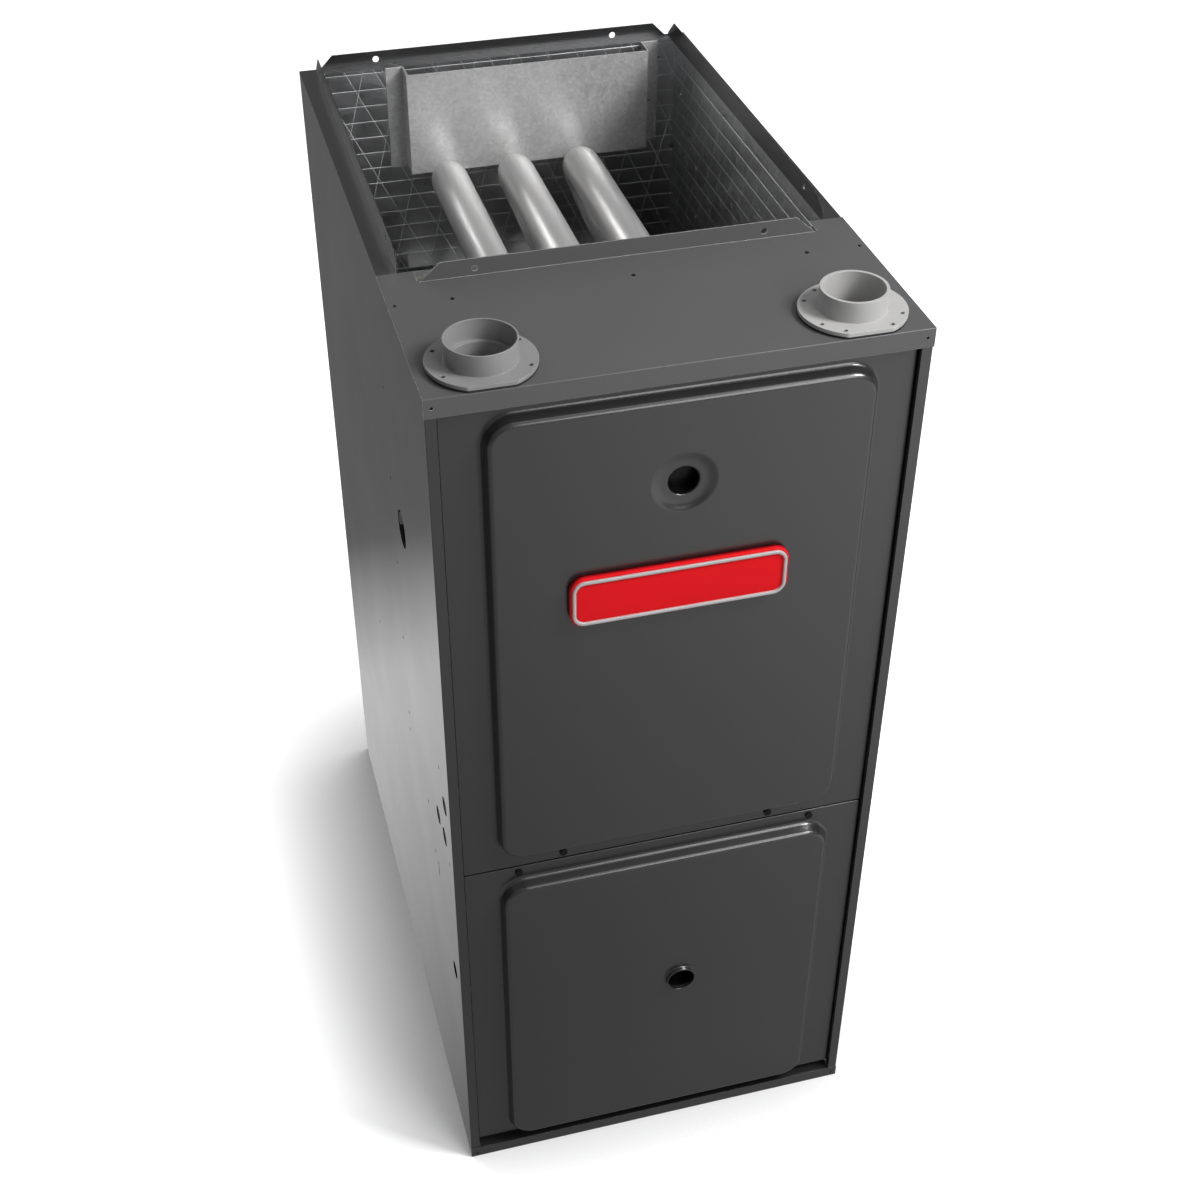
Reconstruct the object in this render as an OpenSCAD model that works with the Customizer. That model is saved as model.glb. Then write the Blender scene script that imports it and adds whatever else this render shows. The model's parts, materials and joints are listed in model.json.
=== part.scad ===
// Upflow condensing gas furnace: painted sheet cabinet, three-tube heat exchanger with a
// condensing coil, sealed burners, vent blower, circulating blower and controls.
// Frame: origin at the centre of the base, +X to the right seen from the front, -Y the front
// with the two doors, +Z up. Lengths are millimetres.

/* [Cabinet] */
// Outside width of the cabinet
cabinet_w = 444.5; // [430:0.5:540]
// Outside depth over the front lips
cabinet_d = 711.2; // [700:0.2:760]
// Height to the top of the top panel
cabinet_h = 1016; // [1000:1:1080]
// Thickness of the painted cabinet sheet
sheet_t = 0.9; // [0.7:0.1:1.2]
// Width of each front stile
stile_w = 10; // [8:0.5:12]
// Depth of the return bent back behind each stile
stile_return = 16; // [12:1:20]
// Height of the top panel's front lip
top_lip_h = 18.5; // [14:0.5:24]
// Height of the toe rail's front face
toe_lip_h = 14; // [10:0.5:18]
// Depth of the toe rail's shelf
toe_shelf_d = 20; // [14:1:26]
// Overhang of the top panel past each side
top_overhang = 0.6; // [0.2:0.1:1]
// Outer radius of the cabinet's bends
bend_out_r = 0.9; // [0.9:0.1:1.2]
// Width of the flanges turned in around the base
base_flange_w = 20; // [14:1:28]
// Height of the edge turned up around the base panel
base_edge_h = 12; // [8:1:20]

// Height of the collars turned in round the gas pipe's holes
gas_collar_h = 4; // [3:0.5:6]

/* [Supply duct flanges] */
// Width of the ledge outside each side duct flange
ledge_w = 18.7; // [16:0.1:24]
// Depth from the front of the cabinet to the duct opening
vestibule_d = 196.9; // [190:0.1:210]
// Length of the top panel's ears beside the duct opening
ear_len = 20.7; // [14:0.1:28]
// Height of the side duct flanges
side_flange_h = 20.5; // [14:0.5:28]
// Height of the back duct flange
back_flange_h = 14.2; // [10:0.1:20]
// Height of the front duct flange
front_flange_h = 16.5; // [10:0.5:22]
// Inset of the front and back flanges from the side flanges
flange_end_gap = 4.5; // [2:0.5:10]
// Distance of each duct screw hole from the centre line
duct_hole_x = 136.5; // [110:0.5:150]
// Radius of the duct screw holes
duct_hole_r = 3.6; // [2:0.1:4.5]

/* [Blower deck and vestibule] */
// Height of the top of the blower deck
deck_z = 470; // [464:1:480]
// Height of the centre rail turned down in front of the deck
centre_rail_h = 32; // [28:1:36]
// Height of the edges turned up round the blower's outlet
outlet_lip_h = 8; // [6:1:12]
// Drop of the deck's other edges
deck_edge_h = 16; // [10:1:20]
// Depth of the vestibule panel's side flanges
panel_flange_d = 46; // [30:1:60]
// Depth of the vestibule panel's top flange
panel_top_flange_d = 45; // [36:1:50]
// Thickness of the foil-faced insulation
liner_t = 12.7; // [10:0.1:16]

/* [Doors] */
// Drop of the seam between the doors below the deck
seam_drop = 16.5; // [14:0.5:20]
// Gap at the seam
seam_gap = 1.8; // [1:0.1:3]
// Clearance between each door and the stiles
door_side_gap = 1.05; // [0.6:0.05:2]
// Clearance between the upper door and the top lip
door_top_gap = 1; // [0.6:0.1:3]
// Clearance between the lower door and the toe rail
door_toe_gap = 8.3; // [6:0.1:12]
// Recess of the doors' flat rim behind the lips
door_recess = 7; // [5:0.5:9]
// Height of the embossed panel above the flat rim
emboss_h = 13; // [10:0.5:15]
// Width of the embossed panel's slope
emboss_slope = 6.8; // [5:0.1:8]
// Flat rim beside the embossed panel
emboss_margin_x = 33.4; // [28:0.1:40]
// Flat rim of the upper door under its panel
upper_margin_bottom = 17.3; // [15:0.1:20]
// Flat rim of the upper door over its panel
upper_margin_top = 7.7; // [5:0.1:12]
// Flat rim of the lower door over its panel
lower_margin_top = 15.3; // [13:0.1:18]
// Flat rim of the lower door under its panel
lower_margin_bottom = 0.5; // [0.5:0.1:6]
// Corner radius of the embossed face
emboss_corner_r = 22; // [16:1:28]
// Depth of the edges bent in around each door
door_edge_d = 8; // [6:0.5:9]
// Depth of the edge bent in along the upper door's top, in front of the vents
top_edge_d = 5.2; // [4:0.1:5.4]
// Drop of the upper sight hole below the top panel
sight_drop = 115.5; // [96:0.5:136]
// Radius of each sight hole
sight_r = 14.5; // [12:0.5:16]
// Outer radius of the dish around the upper sight hole
dish_r = 30.5; // [27:0.5:34]
// Depth of that dish
dish_depth = 3; // [2:0.1:4]
// Distance of the lower window from the centre line
window_x = 17.5; // [0:0.5:40]
// Height of the lower window above the base
window_z = 246.8; // [230:0.2:260]
// Height of the collar turned out around each hole
collar_h = 4.5; // [2:0.5:6]
// Set-back of the panes behind both holes
pane_depth = 13; // [6:1:14]

/* [Badge] */
// Width of the badge
badge_w = 205; // [180:1:220]
// Height of the badge
badge_h = 53; // [44:0.5:56]
// Thickness of the badge's body
badge_t = 7; // [5:0.5:9]
// Width of the raised border
border_w = 3.4; // [3:0.1:6]
// Height of the raised border
border_h = 2; // [1:0.1:3]
// Drop of the badge's centre below the top panel
badge_drop = 224.5; // [206:0.5:246]
// Width of the red body seen outside the border
border_in = 2; // [1:0.1:4]
// Distance of the badge's centre from the centre line
badge_x = -2.5; // [-5:0.5:5]

/* [Vent connections] */
// Distance of the exhaust vent from the left side
exhaust_in = 57.75; // [55:0.05:64]
// Distance of the intake vent from the right side
intake_in = 58.95; // [55:0.05:64]
// Distance of both vents from the front of the cabinet
vent_y = 44.1; // [44:0.1:56]
// Outside diameter of nominal 2 inch plastic pipe
pipe_od = 60.3; // [60.3:0.1:60.6]
// Wall of the plastic pipe
pipe_wall = 3; // [2.5:0.1:4]
// Diameter of the vents' fixing discs
disc_d = 95.7; // [90:0.1:98]
// Distance from a vent's centre to the flat on its disc
disc_flat = 43.6; // [42:0.1:46]
// Thickness of the fixing discs
disc_t = 3.5; // [2.5:0.1:5]
// Thickness of the gaskets under the discs
gasket_t = 2; // [1.5:0.1:3]
// Height of the stubs above the top panel
stub_h = 25; // [18:0.1:28]
// Wall of the exhaust socket
socket_wall = 1.5; // [1.4:0.1:3]
// Depth of the exhaust socket down to its shoulder
socket_depth = 19; // [10:0.5:19]
// Circle of the fixing holes
disc_pcd = 85; // [82:0.5:88]
// Radius of the fixing holes
disc_hole_r = 2.1; // [1.6:0.1:2.4]

/* [Heat exchanger] */
// Outside diameter of the heat-exchanger tubes
tube_d = 41.3; // [36:0.1:42]
// Wall of the tubes
tube_wall = 1.2; // [1:0.1:2]
// Width kept at each side of the burners for the vent pipes
vent_bay = 107.95; // [104:0.05:112]
// Drop of the fired pass below the top panel
fired_drop = 107; // [100:1:126]
// Radius of the return bends
bend_r = 47.5; // [44:0.5:49]
// Depth from the back of the cabinet to the rear bends' axis
rear_bend_in = 102.6; // [100:0.1:130]
// Depth of the collector box
collector_d = 36; // [32:1:38]
// Depth from the front of the cabinet to the front bends' axis
front_bend_in = 296; // [280:1:310]
// Width of the rear baffle's raised panel
baffle_w = 278; // [240:1:300]
// Height of the rear baffle
baffle_h = 117; // [100:1:125]
// Stand-off of the raised panel
baffle_d = 26; // [20:1:28]
// Width of the baffle's side flanges
baffle_flange = 19; // [14:0.5:22]
// Distance of the baffle's centre from the centre line
baffle_x = 29; // [15:1:32]
// Drop of the baffle's top below the top panel
baffle_drop = 1.5; // [1:0.5:8]
// Height of the condensing coil's middle above the deck
coil_rise = 92; // [88:1:100]
// Height of the condensing coil
coil_h = 84; // [70:1:90]
// Spacing of the coil's fins
fin_pitch = 13; // [11:0.5:16]

/* [Burners and gas train] */
// Length of each burner
burner_len = 112; // [100:1:116]
// Radius of a burner's flame end
burner_r = 15; // [12:0.5:16]
// Gap between a burner and its tube
flame_gap = 10; // [8:1:14]
// Outside diameter of the gas manifold pipe
manifold_d = 21.3; // [20:0.1:24]
// Radius of the valve's tapped gas inlet
gas_port_r = 10.3; // [9:0.1:11]
// Swing of the gas valve's switch lever
switch_swing = 35; // [20:5:40]

/* [Vent blower] */
// Radius of the vent blower's wheel
inducer_r = 60; // [52:1:64]
// Depth of the vent blower's housing
inducer_d = 52; // [46:1:56]
// Height of the vent blower's shaft above the deck
inducer_rise = 105; // [98:1:112]
// Radius of the vent blower's shaft
inducer_shaft_r = 4; // [3:0.1:5]

/* [Circulating blower] */
// Radius of the blower wheel
wheel_r = 127; // [115:1:130]
// Width of the blower wheel
wheel_w = 203; // [180:1:210]
// Number of blades
blade_count = 36; // [24:1:48]
// Radial depth of the blades
blade_d = 22; // [18:1:25]
// Radius of the blower shaft
shaft_r = 6.35; // [6:0.05:8]
// Running clearance of both shafts
shaft_gap = 0.05; // [0.02:0.01:0.09]
// Drop of the blower shaft below the deck
blower_drop = 242; // [236:1:246]
// Distance of the blower shaft behind the centre line
blower_y = 60; // [40:1:70]
// Radius of the blower motor
motor_r = 69.8; // [60:0.1:74]
// Length of the blower motor
motor_len = 125; // [110:1:130]

/* [Controls] */
// Width of the wiring box
junction_w = 44; // [40:1:50]
// Depth of the wiring box
junction_d = 66; // [60:1:70]
// Height of the wiring box
junction_h = 74; // [66:1:80]
// Distance of the wiring box behind the front lips
junction_in = 24; // [20:1:28]
// Width of the blower's capacitor
capacitor_w = 36; // [30:1:40]
// Depth of the capacitor
capacitor_l = 52; // [44:1:56]
// Height of the capacitor's can
capacitor_h = 80; // [60:1:90]
// Side of the square control board
board_side = 150; // [130:1:160]
// Drop of the board's middle below the deck
board_drop = 220; // [210:1:230]
// Height and width of the transformer's core
transformer_h = 48; // [40:1:56]
// Travel of the door switch plunger
plunger_travel = 6; // [4:0.5:7]
// Travel of the rollout switches' reset buttons
reset_travel = 1.5; // [1:0.1:2]

/* [Hidden] */
$fn = 48;

// Colours
charcoal = [0.25, 0.25, 0.26];
deck_grey = [0.30, 0.30, 0.31];
foil = [0.45, 0.45, 0.46];
galvanised = [0.62, 0.62, 0.63];
tube_metal = [0.66, 0.65, 0.63];
vent_grey = [0.58, 0.58, 0.58];
intake_grey = [0.75, 0.74, 0.73];
black_plastic = [0.07, 0.07, 0.07];
badge_red = [0.80, 0.08, 0.10];
badge_silver = [0.70, 0.70, 0.71];
brass = [0.75, 0.60, 0.30];

// Faces of the cabinet
x_out = cabinet_w / 2;
x_in = x_out - sheet_t;
y_front = -cabinet_d / 2;
y_wrap = y_front + sheet_t;
y_back = cabinet_d / 2;
y_back_in = y_back - sheet_t;
z_ledge = cabinet_h - sheet_t;
x_stile = x_out - stile_w;
duct_x = x_out - ledge_w;
duct_y = y_front + vestibule_d;
ear_y = duct_y + ear_len;
overlap = 0.01;

// Seats inside
seat_gap = 0.05;
base_y0 = y_front + toe_shelf_d + 2;
deck_x = x_in - seat_gap;
deck_under = deck_z - sheet_t;
deck_y1 = y_back_in - seat_gap;
panel_y = duct_y - sheet_t - 0.5;
panel_back = panel_y + sheet_t;
liner_x = deck_x - sheet_t - seat_gap;
liner_front_y = panel_back + liner_t;
liner_back_y = y_back_in - liner_t;
liner_top = z_ledge - sheet_t - seat_gap;

// Doors
seam_z = deck_z - seam_drop;
sight_z = cabinet_h - sight_drop;
badge_z = cabinet_h - badge_drop;
door_y = y_front + door_recess;
face_y = door_y - emboss_h;
door_x = x_stile - door_side_gap;
foot_x = door_x - emboss_margin_x;
upper_z0 = seam_z + seam_gap / 2;
upper_z1 = cabinet_h - top_lip_h - door_top_gap;
lower_z0 = toe_lip_h + door_toe_gap;
lower_z1 = seam_z - seam_gap / 2;
door_back = door_y + door_edge_d;
rail_y = door_back + 0.6;
door_screw_z = 7.4;
upper_screw_x = 108.5;
lower_screw_x = 155;
door_screw_r = 2;

// Heat exchanger. The bends lean, so that the second pass lies between two fired ones.
tube_r = tube_d / 2;
tube_pitch = (x_out - vent_bay) / 1.5;
fired_z = cabinet_h - fired_drop;
lean_sin = 0.352;
lean_cos = 0.936;
pass_shift = 2 * bend_r * lean_sin;
second_z = fired_z - 2 * bend_r * lean_cos;
third_z = second_z - 2 * bend_r * lean_cos;
rear_bend_y = y_back - rear_bend_in;
front_bend_y = y_front + front_bend_in;
collector_y0 = rear_bend_y + 48;
collector_y1 = collector_y0 + collector_d;
coil_z = deck_z + coil_rise;
coil_z0 = coil_z - coil_h / 2;
coil_z1 = coil_z + coil_h / 2;
coil_x = x_in - 43.35;
collector_x = tube_pitch + tube_r + 18;
tube_seat = 0.15;

// Vent blower and header
header_d = 40;
header_y0 = panel_y - header_d;
exhaust_x = -x_out + exhaust_in;
intake_x = x_out - intake_in;
vent_centre_y = y_front + vent_y;
inducer_x = exhaust_x + 62;
inducer_z = deck_z + inducer_rise;
inducer_y1 = header_y0;
inducer_y0 = inducer_y1 - inducer_d;
inducer_scroll_r = inducer_r + 9;
inducer_motor_len = 46;
outlet_y = (inducer_y0 + inducer_y1) / 2;
vent_bend_r = (outlet_y - vent_centre_y) / 2;
vent_end_z = z_ledge - 14;
elbow_z = vent_end_z - 32 - 2 * vent_bend_r;
riser_z = inducer_z + inducer_r + 42;

// Burners
burner_y1 = panel_y - flame_gap;
burner_y0 = burner_y1 - burner_len;
orifice_len = 14;
manifold_y = burner_y0 - 3 - orifice_len - manifold_d / 2 + 2;
bracket_x = 1.5 * tube_pitch;
bracket_t = 1.2;
bracket_h = 54;
valve_w = 76;
valve_x = bracket_x + valve_w / 2 - 2;
valve_h = 70;
valve_z1 = fired_z - 58;
valve_z0 = valve_z1 - valve_h;
valve_y = manifold_y + 8;
inlet_z = valve_z0 + 22;
gas_hole_r = 17.5;
rod_y = burner_y1 - 9;
rod_z = fired_z + bracket_h / 2 - 12;

// Blower
blower_z = deck_z - blower_drop;
hub_t = 2;
housing_x = wheel_w / 2 + 16;
housing_t = 1.2;
scroll_r0 = wheel_r + 11;
scroll_grow = 72;
cutoff_y = blower_y + 25;
scroll_y1 = blower_y + scroll_r0 + scroll_grow;
inlet_r = wheel_r - blade_d + 6;
slide_z = deck_under - 1.4;
motor_x1 = -hub_t / 2 - 58;
motor_x0 = motor_x1 - motor_len;
band_x = -housing_x - 22;

// Controls
board_z = deck_z - board_drop;
board_y = y_front + 80.6;
board_x = 5;
transformer_x = board_x + board_side / 2 + 18 + transformer_h / 2;
bracket_y = board_y + 13.5;

// ---------------------------------------------------------------- shared shapes

// A box between two corners
module block(x0, x1, y0, y1, z0, z1) {
  translate([x0, y0, z0]) cube([x1 - x0, y1 - y0, z1 - z0]);
}

// A rounded rectangle centred on its place
module rounded(w, h, r) {
  square([w - 2 * r, h], center = true);
  square([w, h - 2 * r], center = true);
  for (sx = [-1, 1], sy = [-1, 1])
    translate([sx * (w / 2 - r), sy * (h / 2 - r)]) circle(r);
}

// An X-Z outline given a thickness t behind the plane y
module slab_xz(y, t) {
  translate([0, y + t, 0]) rotate([90, 0, 0]) linear_extrude(t) children();
}

// A Y-Z outline given a thickness t to the right of the plane x
module slab_yz(x, t) {
  translate([x, 0, 0]) rotate([90, 0, 90]) linear_extrude(t) children();
}

// Round bars along each axis
module bar_x(x0, x1, y, z, r) {
  translate([x0, y, z]) rotate([0, 90, 0]) cylinder(h = x1 - x0, r = r);
}
module bar_y(x, y0, y1, z, r) {
  translate([x, y0, z]) rotate([-90, 0, 0]) cylinder(h = y1 - y0, r = r);
}
module bar_z(x, y, z0, z1, r) {
  translate([x, y, z0]) cylinder(h = z1 - z0, r = r);
}

// A bend in the Y-Z plane, from angle a0 to a1, counted from +Y towards +Z
module bend_yz(x, y, z, centre_r, r, a0, a1) {
  translate([x, y, z]) rotate([90, 0, 90]) rotate(a0)
    rotate_extrude(angle = a1 - a0) translate([centre_r, 0]) circle(r);
}

// A bend in the X-Z plane, from angle a0 to a1, counted from +X towards +Z
module bend_xz(x, y, z, centre_r, r, a0, a1) {
  translate([x, y, z]) rotate([90, 0, 0]) rotate(a0)
    rotate_extrude(angle = a1 - a0) translate([centre_r, 0]) circle(r);
}

// A low round screw head with its shank, pointing along +Y
module screw_y(x, y, z, head_r, head_h, shank_r, shank_l) {
  bar_y(x, y - head_h, y, z, head_r);
  bar_y(x, y - overlap, y + shank_l, z, shank_r);
}

// ---------------------------------------------------------------- cabinet

// Screws in the lips, [side, height], and in the top panel, [x, y]
lip_screws = [for (s = [-1, 1], end = [0, 1])
  [s * (x_out - 6.4), end == 0 ? 5 : cabinet_h - 9]];
top_screw_y = duct_y - 38.6;
top_screws = [-165, 0, 165];
ledge_screw_x = x_out - 6;
screw_r = 1.55;
screw_hole_r = 1.6;

module lip_screw_holes() {
  for (p = lip_screws)
    bar_y(p[0], y_front - 1, y_wrap + sheet_t + 1, p[1], screw_hole_r);
}

module ledge_screw_holes() {
  for (s = [-1, 1])
    bar_z(s * ledge_screw_x, top_screw_y, z_ledge - 2, cabinet_h + 1, screw_hole_r);
}

module top_screw_holes() {
  for (x = top_screws)
    bar_z(x, top_screw_y, z_ledge - 2, cabinet_h + 1, 2.1);
}

// Clinched joints of the sides with the sheets inside, [y from the front, z]
clinches = concat(
  [for (z = [423, 320, 217, 118, 14, -10.5]) [vestibule_d + 33.2, deck_z + z]],
  [for (c = [[423.5, -11.3], [20, -9.1], [49.3, 97.7], [135.6, -29.9], [109.2, -78.5]])
    [c[0], deck_z + c[1]]]
);

// Holes for gas, wiring and drain, the same on both sides: [y from the front, z, radius]
side_holes = [
  [177.4, deck_z + 294.8, 19.5], [29.4, deck_z + 63.5, 10], [71.9, deck_z + 10.9, 10],
  [40.6, deck_z + 10.4, 10], [29.8, deck_z - 179.4, 10]
];

module duct_flange_side(side) {
  top = z_ledge + side_flange_h;
  chamfer = side_flange_h - 9;
  slab_yz(side > 0 ? duct_x - sheet_t : -duct_x, sheet_t) difference() {
    polygon([
      [ear_y, z_ledge - sheet_t], [ear_y, top - chamfer], [ear_y + 2 * chamfer, top],
      [y_back - side_flange_h - 3, top], [y_back - 3, z_ledge + 3],
      [y_back - 3, z_ledge - sheet_t]
    ]);
    translate([ear_y + 50, z_ledge + 11]) circle(duct_hole_r);
  }
}

// Hole for the gas pipe with its collar, short of the vestibule panel
module gas_collar(y, z, r) {
  intersection() {
    bar_x(x_in - gas_collar_h, x_in + overlap, y, z, r + sheet_t);
    block(0, x_out, y - 2 * r, panel_y - seat_gap, z - 2 * r, z + 2 * r);
  }
}

module cabinet_wrap() {
  color(charcoal) difference() {
    union() {
      // side and back walls, one sheet bent round upright corners
      linear_extrude(z_ledge) difference() {
        translate([0, (y_wrap + y_back) / 2]) rounded(2 * x_out, y_back - y_wrap, bend_out_r);
        translate([-x_in, y_wrap + sheet_t]) square([2 * x_in, y_back_in - y_wrap - sheet_t]);
        translate([-x_stile, y_wrap - 1]) square([2 * x_stile, sheet_t + 2]);
      }
      for (s = [-1, 1]) mirror([s < 0 ? 1 : 0, 0, 0]) {
        gas_collar(y_front + side_holes[0][0], side_holes[0][1], side_holes[0][2]);
        // return behind the stile
        block(x_stile, x_stile + sheet_t, y_wrap, y_wrap + stile_return, toe_lip_h + 6,
              z_ledge);
        // ledge along the top and flange along the base
        block(duct_x - sheet_t, x_in + overlap, y_wrap + overlap, y_back_in + overlap,
              z_ledge - sheet_t, z_ledge);
        block(x_out - base_flange_w, x_in + overlap, y_wrap + 24, y_back_in + overlap, 0, sheet_t);
      }
      gas_collar(manifold_y, inlet_z, gas_hole_r);
      block(-x_in, x_in, y_back - base_flange_w, y_back_in + overlap, 0, sheet_t);
      duct_flange_side(-1);
      duct_flange_side(1);
      // back duct flange with 45 degree ends
      slab_xz(y_back_in, sheet_t) polygon([
        [-duct_x + flange_end_gap, z_ledge - overlap],
        [-duct_x + flange_end_gap + back_flange_h, z_ledge + back_flange_h],
        [duct_x - flange_end_gap - back_flange_h, z_ledge + back_flange_h],
        [duct_x - flange_end_gap, z_ledge - overlap]
      ]);
    }
    for (h = side_holes)
      bar_x(-x_out - 1, x_out + 1, y_front + h[0], h[1], h[2]);
    // hole in line with the gas valve's inlet
    bar_x(x_in - gas_collar_h - 1, x_out + 1, manifold_y, inlet_z, gas_hole_r);
    // bend reliefs behind the ends of the top panel's lip
    for (s = [-1, 1]) mirror([s < 0 ? 1 : 0, 0, 0])
      block(x_in - 0.6, x_out + 1, y_wrap - 1, y_wrap + 2.6, cabinet_h - top_lip_h, z_ledge + 1);
    for (s = [-1, 1])
      bar_y(s * duct_hole_x, y_back_in - 1, y_back + 1, z_ledge + back_flange_h - 9,
            duct_hole_r);
    lip_screw_holes();
    ledge_screw_holes();
    for (c = clinches, s = [-1, 1])
      bar_x(s * x_out - 0.3, s * x_out + 0.3, y_front + c[0], c[1], 2);
    for (s = [-1, 1])
      block(s * x_out - 0.3, s * x_out + 0.3, y_front + 92, y_front + 94.5, 370, 392);
  }
}

module top_panel() {
  front_half = duct_x - flange_end_gap - 11;
  color(deck_grey) difference() {
    union() {
      block(-x_out - top_overhang, x_out + top_overhang, y_front, duct_y, z_ledge, cabinet_h);
      for (s = [-1, 1]) mirror([s < 0 ? 1 : 0, 0, 0])
        block(front_half + 1, x_out + top_overhang, duct_y - overlap, ear_y, z_ledge,
              cabinet_h);
      block(-x_out - top_overhang, x_out + top_overhang, y_front, y_wrap,
            cabinet_h - top_lip_h, cabinet_h);
      slab_xz(duct_y - sheet_t, sheet_t) polygon([
        [-front_half, z_ledge], [-front_half + 20, cabinet_h + front_flange_h],
        [front_half - 20, cabinet_h + front_flange_h], [front_half, z_ledge]
      ]);
    }
    // round bend along the front
    difference() {
      block(-cabinet_w, cabinet_w, y_front - 1, y_front + bend_out_r, cabinet_h - bend_out_r,
            cabinet_h + 1);
      bar_x(-cabinet_w - 1, cabinet_w + 1, y_front + bend_out_r, cabinet_h - bend_out_r,
            bend_out_r);
    }
    for (x = [exhaust_x, intake_x])
      bar_z(x, vent_centre_y, z_ledge - 1, cabinet_h + 1, pipe_od / 2 + 0.8);
    for (s = [-1, 1])
      bar_y(s * duct_hole_x, duct_y - 2, duct_y + 1, cabinet_h + 7, duct_hole_r - 0.6);
    top_screw_holes();
    ledge_screw_holes();
    lip_screw_holes();
    for (x = [exhaust_x, intake_x]) disc_holes(x, z_ledge - 1, cabinet_h + 1, 1.8);
  }
}

// Positions round a vent's fixing circle
module disc_holes(x, z0, z1, r) {
  angles = x < 0 ? [30, 150, 210, 330] : [30, 60, 120, 150, 210, 240, 300, 330];
  for (a = angles)
    bar_z(x + disc_pcd / 2 * cos(a), vent_centre_y + disc_pcd / 2 * sin(a), z0, z1, r);
}

module toe_rail() {
  color(charcoal) difference() {
    union() {
      block(-x_out, x_out, y_front, y_wrap, 0, toe_lip_h);
      block(-x_stile + 1, x_stile - 1, y_front, y_front + toe_shelf_d,
            toe_lip_h - sheet_t, toe_lip_h);
      block(-x_stile + 1, x_stile - 1, y_front, y_front + toe_shelf_d, 0, sheet_t);
    }
    lip_screw_holes();
  }
}

// Pan whose rim lies on the base flanges and whose floor drops level with them
module base_panel() {
  px = x_in - 0.4;
  py = y_back_in - 0.4;
  fx = x_out - base_flange_w - 1;
  fy = y_back - base_flange_w - 1;
  color(galvanised) difference() {
    union() {
      block(-px, px, base_y0, py, sheet_t, sheet_t + base_edge_h);
      block(-fx, fx, base_y0, fy, 0, sheet_t + overlap);
    }
    block(-px + sheet_t, px - sheet_t, base_y0 + sheet_t, py - sheet_t, 2 * sheet_t,
          sheet_t + base_edge_h + 1);
    block(-fx + sheet_t, fx - sheet_t, base_y0 + sheet_t, fy - sheet_t, sheet_t,
          3 * sheet_t);
  }
}

module blower_deck() {
  rail_z0 = deck_z - centre_rail_h;
  rail_x = x_stile - 0.4;
  color(galvanised) difference() {
    union() {
      block(-deck_x, deck_x, rail_y + stile_return, deck_y1, deck_under, deck_z);
      block(-rail_x, rail_x, rail_y, rail_y + stile_return + overlap, deck_under, deck_z);
      block(-rail_x, rail_x, rail_y, rail_y + sheet_t, rail_z0, deck_z);
      for (s = [-1, 1]) mirror([s < 0 ? 1 : 0, 0, 0]) {
        block(deck_x - sheet_t, deck_x, rail_y + stile_return, deck_y1,
              deck_z - deck_edge_h, deck_z);
        // angle rails that the blower's flange slides on
        block(housing_x + 16, housing_x + 17.2, cutoff_y - 10, scroll_y1 + 14,
              slide_z - 1.2, deck_under + overlap);
        block(housing_x + 4, housing_x + 17.2, cutoff_y - 10, scroll_y1 + 14,
              slide_z - 1.2, slide_z);
      }
      block(-deck_x, deck_x, deck_y1 - sheet_t, deck_y1, deck_z - deck_edge_h, deck_z);
      block(-housing_x + 1 - sheet_t, housing_x - 1 + sheet_t, cutoff_y + 1 - sheet_t,
            scroll_y1 - 1 + sheet_t, deck_under, deck_z + outlet_lip_h);
    }
    block(-housing_x + 1, housing_x - 1, cutoff_y + 1, scroll_y1 - 1, deck_under - 1,
          deck_z + outlet_lip_h + 1);
    for (s = [-1, 1]) {
      bar_y(s * upper_screw_x, rail_y - 1, rail_y + 2, upper_z0 + door_screw_z,
            door_screw_r + 0.4);
      bar_y(s * lower_screw_x, rail_y - 1, rail_y + 2, lower_z1 - door_screw_z,
            door_screw_r + 0.4);
    }
  }
}

module vestibule_panel() {
  z0 = deck_z + seat_gap;
  z1 = z_ledge - sheet_t - seat_gap;
  color(galvanised) difference() {
    union() {
      block(-deck_x, deck_x, panel_y, panel_back, z0, z1);
      for (s = [-1, 1]) mirror([s < 0 ? 1 : 0, 0, 0])
        block(deck_x - sheet_t, deck_x, panel_y, panel_y + panel_flange_d, z0, z1);
      block(-duct_x + 2, duct_x - 2, panel_y - panel_top_flange_d, panel_y + overlap,
            z_ledge - sheet_t, z_ledge);
      block(-duct_x + 2, duct_x - 2, panel_y, panel_back, z1 - overlap, z_ledge);
    }
    for (i = [-1, 0, 1])
      bar_y(i * tube_pitch, panel_y - 1, panel_back + 1, fired_z, tube_r + tube_seat);
    block(-coil_x - 1, coil_x + 1, panel_y - 1, panel_back + 1, coil_z0 - 3, coil_z1 + 3);
    bar_y(limit_x, panel_y - 1, panel_back + 1, limit_z, 6.5);
    top_screw_holes();
  }
}

// ---------------------------------------------------------------- foil-faced insulation

// Two sides and the back
module wall_liners() {
  color(foil) {
    for (s = [-1, 1]) mirror([s < 0 ? 1 : 0, 0, 0])
      block(liner_x - liner_t, liner_x, liner_front_y, liner_back_y - seat_gap,
            deck_z + seat_gap, liner_top);
    block(-liner_x, liner_x, liner_back_y, y_back_in, deck_z + seat_gap, liner_top);
  }
}

module front_liner() {
  color(foil) difference() {
    block(-liner_x, liner_x, panel_back, liner_front_y - seat_gap, coil_z1 + 8, liner_top);
    for (i = [-1, 0, 1])
      bar_y(i * tube_pitch, panel_back - 1, liner_front_y + 1, fired_z, tube_r + 3);
    bar_y(limit_x, panel_back - 1, liner_front_y + 1, limit_z, 8);
  }
}

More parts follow.
